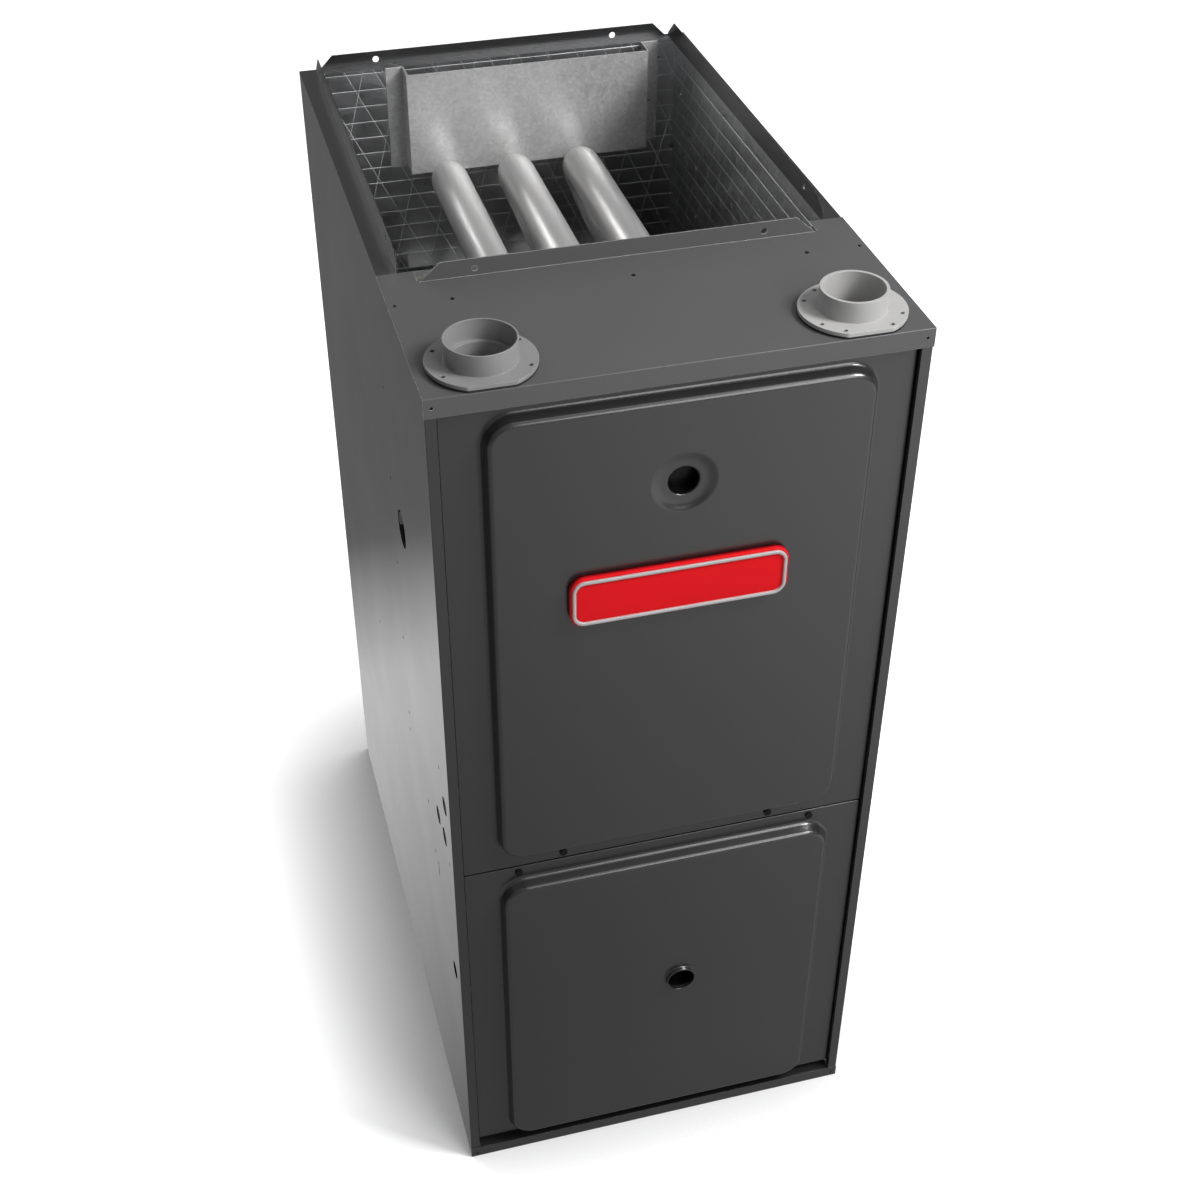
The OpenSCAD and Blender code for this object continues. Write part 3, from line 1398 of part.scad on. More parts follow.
module control_board() {
  half = board_side / 2;
  color([0.1, 0.35, 0.18]) {
    slab_xz(board_y, 1.6) translate([board_x, board_z]) square(board_side, center = true);
    for (sx = [-1, 1], sz = [-1, 1])
      bar_y(board_x + sx * (half - 8), board_y + 1, bracket_y, board_z + sz * (half - 8), 4);
  }
  color("black") translate([board_x, 0, board_z]) {
    // three relays, a fuse holder, a row of tabs and two plug headers
    for (i = [0 : 2]) block(-half + 12 + i * 30, -half + 36 + i * 30, board_y - 18, board_y + 0.5,
                            22, 50);
    block(-half + 12, -half + 42, board_y - 12, board_y + 0.5, -8, 4);
    for (i = [0 : 8]) block(-half + 14 + i * 14, -half + 15 + i * 14, board_y - 9,
                            board_y + 0.5, half - 12, half - 5);
    block(half - 26, half - 14, board_y - 12, board_y + 0.5, -40, 10);
    block(-half + 20, half - 50, board_y - 12, board_y + 0.5, -half + 8, -half + 18);
    bar_y(12.5, board_y - 4, board_y + 0.5, -3, 2.5);
  }
}

module transformer() {
  x = transformer_x;
  half = transformer_h / 2;
  y1 = bracket_y;
  color("dimgray") {
    block(x - half, x + half, y1 - 44, y1 - 12, board_z - half, board_z + half);
    block(x - 0.65 * half, x + 0.65 * half, y1 - 52, y1 - 2, board_z - 0.6 * half,
          board_z + 0.6 * half);
    for (s = [-1, 1])
      block(x - half, x + half, y1 - 12.5, y1, board_z + s * (half - 1) - 1,
            board_z + s * (half - 1) + 1);
  }
}

switch_x = x_stile - 19.25;
switch_z = deck_z - 62;
switch_plate_y = rail_y + sheet_t;

module door_switch() {
  color("whitesmoke") difference() {
    union() {
      block(switch_x - 14, switch_x + 14, switch_plate_y, switch_plate_y + 1, switch_z - 16,
            deck_z - centre_rail_h + 22);
      block(switch_x - 9, switch_x + 9, switch_plate_y + 0.9, switch_plate_y + 30,
            switch_z - 14, switch_z + 14);
      bar_y(switch_x, switch_plate_y - 1.5, switch_plate_y + 1, switch_z, 6);
    }
    bar_y(switch_x, switch_plate_y - 2, switch_plate_y + 18, switch_z, 3.05);
  }
}

// Plunger, held in by the lower door
module door_switch_plunger() {
  color("white")
    bar_y(switch_x, door_y + sheet_t + 0.3, switch_plate_y + 16, switch_z, 3);
}

// ---------------------------------------------------------------- doors

// Convex body of the embossed panel with a softened brow, sunk back by t for its inner skin
module emboss_body(z0, z1, t) {
  w = foot_x;
  hull() {
    for (step = [[0, 0], [0.62, 0.5], [0.9, 0.82], [1, 1.0]]) {
      inset = emboss_slope * step[1] + t;
      y = door_y + t - emboss_h * step[0];
      translate([0, y + 0.02, (z0 + z1) / 2]) rotate([90, 0, 0]) linear_extrude(0.02)
        for (sx = [-1, 1], sz = [-1, 1])
          translate([sx * (w - emboss_corner_r - emboss_slope),
                     sz * ((z1 - z0) / 2 - emboss_corner_r - emboss_slope)])
            circle(emboss_corner_r + emboss_slope - inset, $fn = 32);
    }
  }
}

// Pan with bent-in edges, and the embossed panel standing out of it
module door_shell(z0, z1, margin_bottom, margin_top) {
  difference() {
    union() {
      block(-door_x, door_x, door_y, door_back, z0, z1);
      emboss_body(z0 + margin_bottom, z1 - margin_top, 0);
    }
    block(-door_x + sheet_t, door_x - sheet_t, door_y + sheet_t, door_back + 1, z0 + sheet_t,
          z1 - sheet_t);
    difference() {
      emboss_body(z0 + margin_bottom, z1 - margin_top, sheet_t);
      block(-door_x, door_x, door_back, door_back + 5, z0, z1);
    }
    slab_xz(door_y - 0.5, 2.5) translate([0, (z0 + margin_bottom + z1 - margin_top) / 2])
      rounded(2 * (foot_x - 1.2), z1 - margin_top - z0 - margin_bottom - 2.4,
              emboss_corner_r + emboss_slope - 1.2);
  }
}

module upper_door() {
  floor_y = face_y + dish_depth;
  color(charcoal) difference() {
    union() {
      difference() {
        door_shell(upper_z0, upper_z1, upper_margin_bottom, upper_margin_top);
        bar_y(0, face_y - 1, face_y + 2, sight_z, dish_r - 1);
      }
      // dish round the sight hole, with a collar turned out at the hole
      difference() {
        translate([0, face_y, sight_z]) rotate([-90, 0, 0])
          cylinder(h = dish_depth + sheet_t, r1 = dish_r + sheet_t, r2 = dish_r - 4);
        translate([0, face_y - overlap, sight_z]) rotate([-90, 0, 0])
          cylinder(h = dish_depth + overlap, r1 = dish_r, r2 = dish_r - 6);
      }
      bar_y(0, floor_y - collar_h / 2, floor_y + sheet_t, sight_z, sight_r + sheet_t);
    }
    bar_y(0, face_y - 5, floor_y + 5, sight_z, sight_r);
    block(-door_x - 1, door_x + 1, door_y + top_edge_d, door_back + 1,
          upper_z1 - sheet_t - overlap, upper_z1 + 1);
    for (s = [-1, 1])
      bar_y(s * upper_screw_x, door_y - 1, door_y + 3, upper_z0 + door_screw_z,
            door_screw_r + 0.4);
  }
}

// Ring behind a door's skin at y0, with its pane set back in it
module sight_pane(x, y0, z) {
  color(black_plastic) difference() {
    union() {
      bar_y(x, y0 + 0.05, y0 + 2, z, sight_r + 5);
      bar_y(x, y0 + 0.05, y0 + pane_depth, z, sight_r + 2);
    }
    bar_y(x, y0 - 1, y0 + pane_depth - 2, z, sight_r - 0.5);
  }
}

module upper_sight_glass() {
  sight_pane(0, face_y + dish_depth + sheet_t, sight_z);
}

module badge_outline(inset) {
  translate([badge_x, badge_z]) rounded(badge_w - 2 * inset, badge_h - 2 * inset, 14 - inset);
}

module badge_plate() {
  color(badge_red) slab_xz(face_y - badge_t, badge_t) badge_outline(0);
}

module badge_border() {
  color(badge_silver) slab_xz(face_y - badge_t - border_h, border_h) difference() {
    badge_outline(border_in);
    badge_outline(border_in + border_w);
  }
}

module upper_door_screws() {
  color(black_plastic) for (s = [-1, 1])
    screw_y(s * upper_screw_x, door_y, upper_z0 + door_screw_z, 4, 1.6, door_screw_r, 14);
}

module lower_door() {
  color(charcoal) difference() {
    union() {
      door_shell(lower_z0, lower_z1, lower_margin_bottom, lower_margin_top);
      bar_y(window_x, face_y - collar_h, face_y + sheet_t, window_z, sight_r + sheet_t);
    }
    bar_y(window_x, face_y - collar_h - 1, face_y + 5, window_z, sight_r);
    for (s = [-1, 1])
      bar_y(s * lower_screw_x, door_y - 1, door_y + 3, lower_z1 - door_screw_z,
            door_screw_r + 0.4);
  }
}

module lower_window() {
  sight_pane(window_x, face_y + sheet_t, window_z);
}

module lower_door_screws() {
  color(black_plastic) for (s = [-1, 1])
    screw_y(s * lower_screw_x, door_y, lower_z1 - door_screw_z, 4, 1.6, door_screw_r, 14);
}

// Screws in the lips, the top panel and the vents' discs
module cabinet_screws() {
  color(black_plastic) {
    for (p = lip_screws)
      bar_y(p[0], y_front, y_front + 8, p[1], screw_r);
    for (s = [-1, 1])
      bar_z(s * ledge_screw_x, top_screw_y, cabinet_h - 8, cabinet_h + 0.3, screw_r);
    for (x = top_screws)
      bar_z(x, top_screw_y, cabinet_h - 10, cabinet_h + 0.3, 2.05);
  }
}

cabinet_wrap();
top_panel();
toe_rail();
base_panel();
blower_deck();
vestibule_panel();
wall_liners();
front_liner();
rear_baffle();
heat_tube_left();
heat_tube_centre();
heat_tube_right();
collector_box();
condensing_coil();
coil_rails();
cold_header();
exhaust_flange();
intake_flange();
vent_gaskets();
exhaust_pipe();
intake_pipe();
inducer_housing();
inducer_wheel();
inducer_fan();
inducer_motor();
burners();
burner_bracket();
gas_manifold();
gas_orifices();
gas_valve();
gas_valve_switch();
igniter();
flame_sensor();
rollout_switches();
reset_button_left();
reset_button_right();
limit_switch();
pressure_switch();
hoses();
condensate_trap();
junction_box();
blower_housing();
blower_wheel();
blower_motor();
motor_bracket();
capacitor();
control_bracket();
control_board();
transformer();
door_switch();
door_switch_plunger();
upper_door();
upper_sight_glass();
badge_plate();
badge_border();
upper_door_screws();
lower_door();
lower_window();
lower_door_screws();
cabinet_screws();
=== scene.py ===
"""Looks of the forced air furnace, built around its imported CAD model.

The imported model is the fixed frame, in metres: +X to the right seen from the front, -Y the
front with the doors, +Z up. This script gives each of its nodes a finish, replaces the pressed
doors and the badge with smoother surfaces, breaks the sharp edges of the outer sheets, and
lights the whole like a plain product photograph.
"""

from __future__ import annotations

import json
import logging
import math
from dataclasses import dataclass, field
from enum import Enum
from typing import Callable, Sequence

import bmesh
import bpy
import numpy as np
from mathutils import Matrix, Vector

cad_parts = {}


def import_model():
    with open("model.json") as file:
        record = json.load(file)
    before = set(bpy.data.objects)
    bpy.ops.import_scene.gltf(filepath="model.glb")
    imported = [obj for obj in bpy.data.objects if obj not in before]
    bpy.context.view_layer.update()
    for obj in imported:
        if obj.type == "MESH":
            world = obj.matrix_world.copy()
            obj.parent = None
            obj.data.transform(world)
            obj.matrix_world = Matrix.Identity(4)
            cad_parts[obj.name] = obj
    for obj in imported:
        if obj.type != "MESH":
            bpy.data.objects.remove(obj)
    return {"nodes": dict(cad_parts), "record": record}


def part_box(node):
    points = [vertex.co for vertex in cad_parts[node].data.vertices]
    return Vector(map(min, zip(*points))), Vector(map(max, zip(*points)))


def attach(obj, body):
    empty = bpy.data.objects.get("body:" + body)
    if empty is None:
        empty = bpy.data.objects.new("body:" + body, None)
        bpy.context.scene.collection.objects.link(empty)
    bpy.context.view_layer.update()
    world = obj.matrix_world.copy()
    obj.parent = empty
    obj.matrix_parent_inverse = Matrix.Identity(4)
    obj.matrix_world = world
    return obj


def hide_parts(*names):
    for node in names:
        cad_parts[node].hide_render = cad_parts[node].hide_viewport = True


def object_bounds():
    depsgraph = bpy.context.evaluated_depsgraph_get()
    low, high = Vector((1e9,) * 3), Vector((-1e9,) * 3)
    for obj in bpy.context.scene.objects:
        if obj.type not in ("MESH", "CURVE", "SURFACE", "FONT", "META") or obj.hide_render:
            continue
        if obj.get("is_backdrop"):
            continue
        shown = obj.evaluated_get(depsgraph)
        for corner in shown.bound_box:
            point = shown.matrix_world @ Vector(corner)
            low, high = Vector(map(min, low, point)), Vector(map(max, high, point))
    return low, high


LOG = logging.getLogger("furnace")
MM = 0.001
# Face layer of the bevelled edges, where painted finishes take a painted highlight colour
HIGHLIGHT_EDGE_LAYER = "painted_highlight_edge"
MM_PER_M = 1000.0
# The range that most of a noise's values lie in
NOISE_RANGE = (0.3, 0.7)

Colour = tuple[float, float, float]
Socket = bpy.types.NodeSocket


# ---- node helpers


class Board:
    """A node tree with short calls for the nodes that the finishes use."""

    def __init__(self, tree: bpy.types.NodeTree) -> None:
        """Keeps the tree.

        Args:
            tree: the material's or the group's node tree.
        """
        self.tree = tree

    def add(self, kind: str, **settings: object) -> bpy.types.Node:
        """Adds a node and sets its properties.

        Args:
            kind: the node's Blender type, without its "ShaderNode" prefix.
            settings: properties of the node by name.

        Returns:
            The new node.
        """
        node = self.tree.nodes.new("ShaderNode" + kind)
        for name, value in settings.items():
            setattr(node, name, value)
        return node

    def feed(self, socket: Socket, source: object) -> None:
        """Links a socket to an output, or writes a plain value into it.

        Args:
            socket: the input.
            source: an output socket, a number, a colour or a vector.
        """
        if isinstance(source, bpy.types.NodeSocket):
            self.tree.links.new(source, socket)
        elif isinstance(source, (tuple, list)) and socket.type == "RGBA":
            socket.default_value = (*source[:3], 1.0)
        else:
            socket.default_value = source

    def math(self, operation: str, first: object, second: object = 0.0) -> Socket:
        """One math node on two values, its result the output."""
        node = self.add("Math", operation=operation)
        self.feed(node.inputs[0], first)
        self.feed(node.inputs[1], second)
        return node.outputs[0]

    def span(self, value: Socket, low: float, high: float, to_low: float = 0.0,
             to_high: float = 1.0) -> Socket:
        """Maps a value from one range to another, clamped, along a straight line."""
        node = self.add("MapRange", clamp=True)
        for socket, source in zip(node.inputs[:5], (value, low, high, to_low, to_high)):
            self.feed(socket, source)
        return node.outputs[0]

    def blend(self, factor: object, first: object, second: object) -> Socket:
        """Mixes two colours by a factor."""
        node = self.add("Mix", data_type="RGBA")
        self.feed(node.inputs[0], factor)
        self.feed(node.inputs[6], first)
        self.feed(node.inputs[7], second)
        return node.outputs[2]

    def split(self, vector: Socket) -> bpy.types.NodeOutputs:
        """The three parts of a vector."""
        node = self.add("SeparateXYZ")
        self.feed(node.inputs[0], vector)
        return node.outputs

    def place(self) -> Socket:
        """The object coordinates, in metres."""
        return self.add("TexCoord").outputs["Object"]

    def turn(self, vector: Socket, angles: Sequence[float] = (0, 0, 0),
             scale: Sequence[float] = (1, 1, 1)) -> Socket:
        """Turns and scales a vector by a Mapping node, angles in degrees."""
        node = self.add("Mapping")
        self.feed(node.inputs["Vector"], vector)
        node.inputs["Rotation"].default_value = [math.radians(a) for a in angles]
        node.inputs["Scale"].default_value = scale
        return node.outputs[0]

    def noise(self, vector: Socket, size_mm: float, detail: float = 2.0,
              roughness: float = 0.5) -> Socket:
        """Smooth noise whose lumps are about size_mm across, from 0 to 1."""
        node = self.add("TexNoise")
        self.feed(node.inputs["Vector"], vector)
        node.inputs["Scale"].default_value = 1.0 / (size_mm * MM)
        node.inputs["Detail"].default_value = detail
        node.inputs["Roughness"].default_value = roughness
        return node.outputs[0]

    def cells(self, vector: Socket, size_mm: float, feature: str = "F1") -> bpy.types.Node:
        """Voronoi cells about size_mm across."""
        node = self.add("TexVoronoi", feature=feature)
        self.feed(node.inputs["Vector"], vector)
        node.inputs["Scale"].default_value = 1.0 / (size_mm * MM)
        return node

    def bump(self, height: Socket, depth_mm: float, normal: Socket | None = None) -> Socket:
        """Turns a height of 0 to 1 into a normal, for relief depth_mm deep."""
        node = self.add("Bump")
        node.inputs["Strength"].default_value = 1.0
        node.inputs["Distance"].default_value = depth_mm * MM
        self.feed(node.inputs["Height"], height)
        if normal is not None:
            self.feed(node.inputs["Normal"], normal)
        return node.outputs[0]


def make_group(name: str, inputs: dict[str, float], outputs: Sequence[str],
               fill: Callable[[Board, dict[str, Socket]], dict[str, Socket]]
               ) -> bpy.types.NodeTree:
    """Builds a shader node group of plain values, once.

    Args:
        name: the group's name.
        inputs: each input's name and starting value.
        outputs: each output's name, all of them values.
        fill: makes the nodes between them and returns the output sockets by name.

    Returns:
        The node group.
    """
    if name in bpy.data.node_groups:
        return bpy.data.node_groups[name]
    tree = bpy.data.node_groups.new(name, "ShaderNodeTree")
    tree.interface.new_socket("Vector", in_out="INPUT", socket_type="NodeSocketVector")
    for label, value in inputs.items():
        socket = tree.interface.new_socket(label, in_out="INPUT", socket_type="NodeSocketFloat")
        socket.default_value = value
    for label in outputs:
        tree.interface.new_socket(label, in_out="OUTPUT", socket_type="NodeSocketFloat")
    entry = tree.nodes.new("NodeGroupInput")
    result = tree.nodes.new("NodeGroupOutput")
    made = fill(Board(tree), {s.name: s for s in entry.outputs if s.name})
    for label in outputs:
        tree.links.new(made[label], result.inputs[label])
    return tree


def fill_grain(board: Board, given: dict[str, Socket]) -> dict[str, Socket]:
    """Fine relief and slow mottling: noise at two sizes, each 1 / size in frequency."""
    made = {}
    for label, size, detail in (("Height", "Fine mm", 3.0), ("Mottle", "Slow mm", 4.0)):
        noise = board.add("TexNoise")
        board.feed(noise.inputs["Vector"], given["Vector"])
        board.feed(noise.inputs["Scale"], board.math("DIVIDE", MM_PER_M, given[size]))
        noise.inputs["Detail"].default_value = detail
        made[label] = noise.outputs[0]
    return made


def fill_spangle(board: Board, given: dict[str, Socket]) -> dict[str, Socket]:
    """Zinc crystals: cells broken by noise, each with its own brightness and grain."""
    bend = board.noise(given["Vector"], 9.0, 3.0)
    moved = board.add("VectorMath", operation="ADD")
    shift = board.add("VectorMath", operation="SCALE")
    shift.inputs["Scale"].default_value = 2.2 * MM
    board.feed(shift.inputs[0], bend)
    board.feed(moved.inputs[0], given["Vector"])
    board.feed(moved.inputs[1], shift.outputs[0])
    cell = board.add("TexVoronoi")
    board.feed(cell.inputs["Vector"], moved.outputs[0])
    board.feed(cell.inputs["Scale"], board.math("DIVIDE", MM_PER_M, given["Crystal mm"]))
    tone = board.add("SeparateColor")
    board.feed(tone.inputs[0], cell.outputs["Color"])
    feather = board.noise(given["Vector"], 1.2, 2.0)
    shade = board.math("ADD", board.math("MULTIPLY", tone.outputs[0], 0.75),
                       board.math("MULTIPLY", feather, 0.25))
    return {"Shade": shade, "Rough": tone.outputs[1], "Height": cell.outputs["Distance"]}


def fill_marks(board: Board, given: dict[str, Socket]) -> dict[str, Socket]:
    """Handling marks: long thin scratches and smudges, from stretched noise cut high."""
    long_way = board.turn(given["Vector"], (0, 0, 34), (1.0, 0.06, 1.0))
    scratch = board.span(board.noise(long_way, 3.0, 2.0), 0.62, 0.72)
    smudge = board.span(board.noise(given["Vector"], 70.0, 5.0), 0.45, 0.75)
    return {"Scratch": board.math("MULTIPLY", scratch, smudge), "Smudge": smudge}


def grain_group() -> bpy.types.NodeTree:
    """The fine relief that paint, plastic and rubber share."""
    return make_group("fine_grain", {"Fine mm": 0.6, "Slow mm": 60.0}, ("Height", "Mottle"),
                      fill_grain)


def spangle_group() -> bpy.types.NodeTree:
    """The zinc crystals that all galvanised pieces share."""
    return make_group("zinc_spangle", {"Crystal mm": 7.0}, ("Shade", "Rough", "Height"),
                      fill_spangle)


def marks_group() -> bpy.types.NodeTree:
    """The handling marks that the metal pieces share."""
    return make_group("handling_marks", {}, ("Scratch", "Smudge"), fill_marks)


# ---- finishes


@dataclass(frozen=True)
class Finish:
    """A surface finish: its name and the settings that every kind shares."""

    name: str
    colour: Colour
    roughness: float = 0.5
    metallic: float = 0.0
    specular: float = 0.5

    def build(self) -> bpy.types.Material:
        """Makes the material, once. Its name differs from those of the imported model's own.

        Returns:
            The material named after the finish.
        """
        label = self.name + "_finish"
        if label in bpy.data.materials:
            return bpy.data.materials[label]
        material = bpy.data.materials.new(label)
        material.use_nodes = True
        material.node_tree.nodes.clear()
        board = Board(material.node_tree)
        shader = board.add("BsdfPrincipled")
        for label, value in (("Base Color", self.colour), ("Roughness", self.roughness),
                             ("Metallic", self.metallic),
                             ("Specular IOR Level", self.specular)):
            board.feed(shader.inputs[label], value)
        output = board.add("OutputMaterial")
        board.tree.links.new(shader.outputs[0], output.inputs["Surface"])
        self.dress(board, shader)
        return material

    def group(self, board: Board, tree: bpy.types.NodeTree, **values: float) -> bpy.types.Node:
        """Places a shared group on the object coordinates, with its own values."""
        node = board.add("Group")
        node.node_tree = tree
        board.feed(node.inputs["Vector"], board.place())
        for label, value in values.items():
            node.inputs[label.replace("_", " ")].default_value = value
        return node

    def shades(self, board: Board, shader: bpy.types.Node, mask: Socket, spread: float) -> None:
        """Lets the colour vary by a mask, spread above and below the base colour."""
        low = tuple(c * (1 - spread) for c in self.colour)
        high = tuple(min(1.0, c * (1 + spread)) for c in self.colour)
        board.feed(shader.inputs["Base Color"], board.blend(mask, low, high))

    def dress(self, board: Board, shader: bpy.types.Node) -> None:
        """Adds what is particular to the finish; each kind has its own."""


@dataclass(frozen=True)
class Paint(Finish):
    """Baked enamel: a low orange peel, slow mottling, faint marks and a painted highlight on the
    broken edges.
    """

    peel_mm: float = 1.4
    peel_depth_mm: float = 0.006
    coat: float = 0.0
    spread: float = 0.08
    wear: float = 0.05
    # A painted highlight: the light colour that the bevelled edges take so that they look lit
    edge_highlight_colour: Colour = (0.90, 0.90, 0.90)

    def dress(self, board: Board, shader: bpy.types.Node) -> None:
        """Feeds colour, roughness and normal."""
        grain = self.group(board, grain_group(), Fine_mm=self.peel_mm, Slow_mm=120.0)
        marks = self.group(board, marks_group())
        low, high = (tuple(c * side for c in self.colour)
                     for side in (1 - self.spread, 1 + self.spread))
        # The bevelled edges take the painted highlight colour
        edge = board.add("Attribute", attribute_name=HIGHLIGHT_EDGE_LAYER).outputs["Fac"]
        board.feed(shader.inputs["Base Color"],
                   board.blend(edge, board.blend(grain.outputs["Mottle"], low, high),
                               self.edge_highlight_colour))
        rough = board.span(grain.outputs["Mottle"], *NOISE_RANGE, self.roughness * 0.94,
                           self.roughness * 1.06)
        marked = board.math("ADD", rough,
                          board.math("MULTIPLY", marks.outputs["Scratch"], self.wear))
        board.feed(shader.inputs["Roughness"], marked)
        board.feed(shader.inputs["Normal"],
                   board.bump(grain.outputs["Height"], self.peel_depth_mm))
        shader.inputs["Coat Weight"].default_value = self.coat
        shader.inputs["Coat Roughness"].default_value = 0.12


@dataclass(frozen=True)
class Zinc(Finish):
    """Galvanised sheet with its crystals, some bright and some dull."""

    crystal_mm: float = 7.0
    spread: float = 0.16

    def dress(self, board: Board, shader: bpy.types.Node) -> None:
        """Feeds colour, roughness and normal."""
        spangle = self.group(board, spangle_group(), Crystal_mm=self.crystal_mm)
        marks = self.group(board, marks_group())
        self.shades(board, shader, spangle.outputs["Shade"], self.spread)
        rough = board.span(spangle.outputs["Rough"], 0.0, 1.0, self.roughness - 0.07,
                           self.roughness + 0.09)
        board.feed(shader.inputs["Roughness"],
                   board.math("ADD", rough,
                              board.math("MULTIPLY", marks.outputs["Scratch"], 0.1)))
        board.feed(shader.inputs["Normal"], board.bump(spangle.outputs["Shade"], 0.02))


@dataclass(frozen=True)
class BareSteel(Finish):
    """Drawn or rolled steel: fine lines along one axis and a slow warm tint."""

    line_mm: float = 0.5
    stretch: tuple[float, float, float] = (1.0, 0.04, 1.0)
    tint: Colour = (0.40, 0.33, 0.26)
    tint_share: float = 0.25
    streak: float = 0.35
    relief_mm: float = 0.015

    def dress(self, board: Board, shader: bpy.types.Node) -> None:
        """Feeds colour, roughness and normal."""
        along = board.turn(board.place(), (0, 0, 0), self.stretch)
        lines = board.noise(along, self.line_mm * 2, 3.0)
        patch = board.span(board.noise(board.place(), 48.0, 4.0), 0.42, 0.72)
        warm = board.blend(board.math("MULTIPLY", patch, self.tint_share), self.colour, self.tint)
        dark = tuple(c * 0.72 for c in self.colour)
        board.feed(shader.inputs["Base Color"],
                   board.blend(board.span(lines, *NOISE_RANGE, 0.0, self.streak), warm, dark))
        board.feed(shader.inputs["Roughness"],
                   board.span(lines, *NOISE_RANGE, self.roughness - 0.06, self.roughness + 0.08))
        board.feed(shader.inputs["Normal"], board.bump(lines, self.relief_mm))


@dataclass(frozen=True)
class Moulded(Finish):
    """Moulded plastic or rubber: a fine grain, slow mottling, an even colour."""

    grain_mm: float = 0.5
    grain_depth_mm: float = 0.02
    spread: float = 0.06

    def dress(self, board: Board, shader: bpy.types.Node) -> None:
        """Feeds colour, roughness and normal."""
        grain = self.group(board, grain_group(), Fine_mm=self.grain_mm, Slow_mm=45.0)
        self.shades(board, shader, grain.outputs["Mottle"], self.spread)
        board.feed(shader.inputs["Roughness"],
                   board.span(grain.outputs["Mottle"], *NOISE_RANGE, self.roughness - 0.05,
                              self.roughness + 0.05))
        board.feed(shader.inputs["Normal"],
                   board.bump(grain.outputs["Height"], self.grain_depth_mm))


@dataclass(frozen=True)
class Foil(Finish):
    """Foil over glass wool, with reinforcing yarns pressed into it and a raw cut edge. The yarns
    show as pale lines, a painted highlight along the ridges they press up.
    """

    wool: Colour = (0.30, 0.285, 0.25)
    yarn_highlight_colour: Colour = (0.80, 0.80, 0.79)
    yarn_highlight_share: float = 0.72
    yarn_pitch_mm: float = 18.7
    yarn_mm: float = 0.42
    puff_mm: float = 0.2
    yarn_rise_mm: float = 0.3
    raw_y: float = -0.135
    fold_mm: float = 0.35
    wander_mm: float = 0.9
    steep_deg: float = 64.2
    steep_pitch_mm: float = 29.6
    other_deg: float = -74.9
    other_pitch_mm: float = 41.0
    other_share: float = 0.85

    def phase(self, board: Board, place: Socket, angle: float, pitch_mm: float) -> Socket:
        """Distance to the nearest of lines pitch_mm apart, leaning by angle degrees.

        The walls' width is x + y, as each wall runs along one of the two. The distance
        across the lines swings between 0 on a line and half the pitch between two.
        """
        x, y, z = board.split(place)
        width = board.math("ADD", x, y)
        lean = math.radians(angle)
        across = board.math("ADD", board.math("MULTIPLY", z, math.cos(lean)),
                            board.math("MULTIPLY", width, math.sin(lean)))
        wander = board.math("MULTIPLY", board.math("SUBTRACT", board.noise(place, 60.0), 0.5),
                            self.wander_mm * MM)
        return board.math("PINGPONG", board.math("ADD", across, wander), pitch_mm * MM / 2)

    def yarn(self, board: Board, phase: Socket) -> Socket:
        """A mask of the yarns, from the distance to the nearest one."""
        return board.span(phase, 0.0, self.yarn_mm * MM, 1.0, 0.0)

    def raw_edge(self, board: Board, place: Socket) -> Socket:
        """A mask of the cut wool: faces that look up, in front of the heat exchanger."""
        normal = board.split(board.add("NewGeometry").outputs["Normal"])
        upward = board.math("GREATER_THAN", board.math("ABSOLUTE", normal[2]), 0.7)
        front = board.math("LESS_THAN", board.split(place)[1], self.raw_y)
        return board.math("MULTIPLY", upward, front)

    def dress(self, board: Board, shader: bpy.types.Node) -> None:
        """Feeds colour, roughness, metallic and normal."""
        place = board.place()
        level = self.phase(board, place, 0.0, self.yarn_pitch_mm)
        steep = self.phase(board, place, self.steep_deg, self.steep_pitch_mm)
        other = self.phase(board, place, self.other_deg, self.other_pitch_mm)
        net = board.math("MAXIMUM", self.yarn(board, level), board.math(
            "MAXIMUM", self.yarn(board, steep),
            board.math("MULTIPLY", self.yarn(board, other), self.other_share)))
        half = self.yarn_pitch_mm * MM / 2
        hollow = board.span(board.math("MINIMUM", level, steep), 0.0, half, 1.0, 0.0)
        puff = board.math("SUBTRACT", 1.0, board.math("MULTIPLY", hollow, hollow))
        crinkle = board.noise(board.turn(place, (0, 0, 0), (1, 1, 1.7)), 30.0, 3.0, 0.5)
        raw = self.raw_edge(board, place)
        fibre = board.noise(board.turn(place, (0, 0, 0), (1, 1, 6)), 1.6, 4.0, 0.7)
        dark_wool = tuple(c * 0.45 for c in self.wool)
        # Pale yarn lines: a painted highlight along the pressed ridges
        line = board.math("MULTIPLY", net, self.yarn_highlight_share)
        skin = board.blend(line, self.colour, self.yarn_highlight_colour)
        board.feed(shader.inputs["Base Color"],
                   board.blend(raw, skin, board.blend(fibre, dark_wool, self.wool)))
        bare = board.math("SUBTRACT", 1.0, board.math("MAXIMUM", raw, line))
        board.feed(shader.inputs["Metallic"], bare)
        board.feed(shader.inputs["Roughness"],
                   board.math("MAXIMUM", board.math("MULTIPLY", raw, 0.95),
                              board.span(crinkle, *NOISE_RANGE,
                                         self.roughness - 0.05, self.roughness + 0.07)))
        folded = board.bump(crinkle, self.fold_mm, board.bump(puff, self.puff_mm))
        raised = board.bump(board.math("MAXIMUM", net, board.math("MULTIPLY", raw, fibre)),
                            self.yarn_rise_mm, folded)
        board.feed(shader.inputs["Normal"], raised)


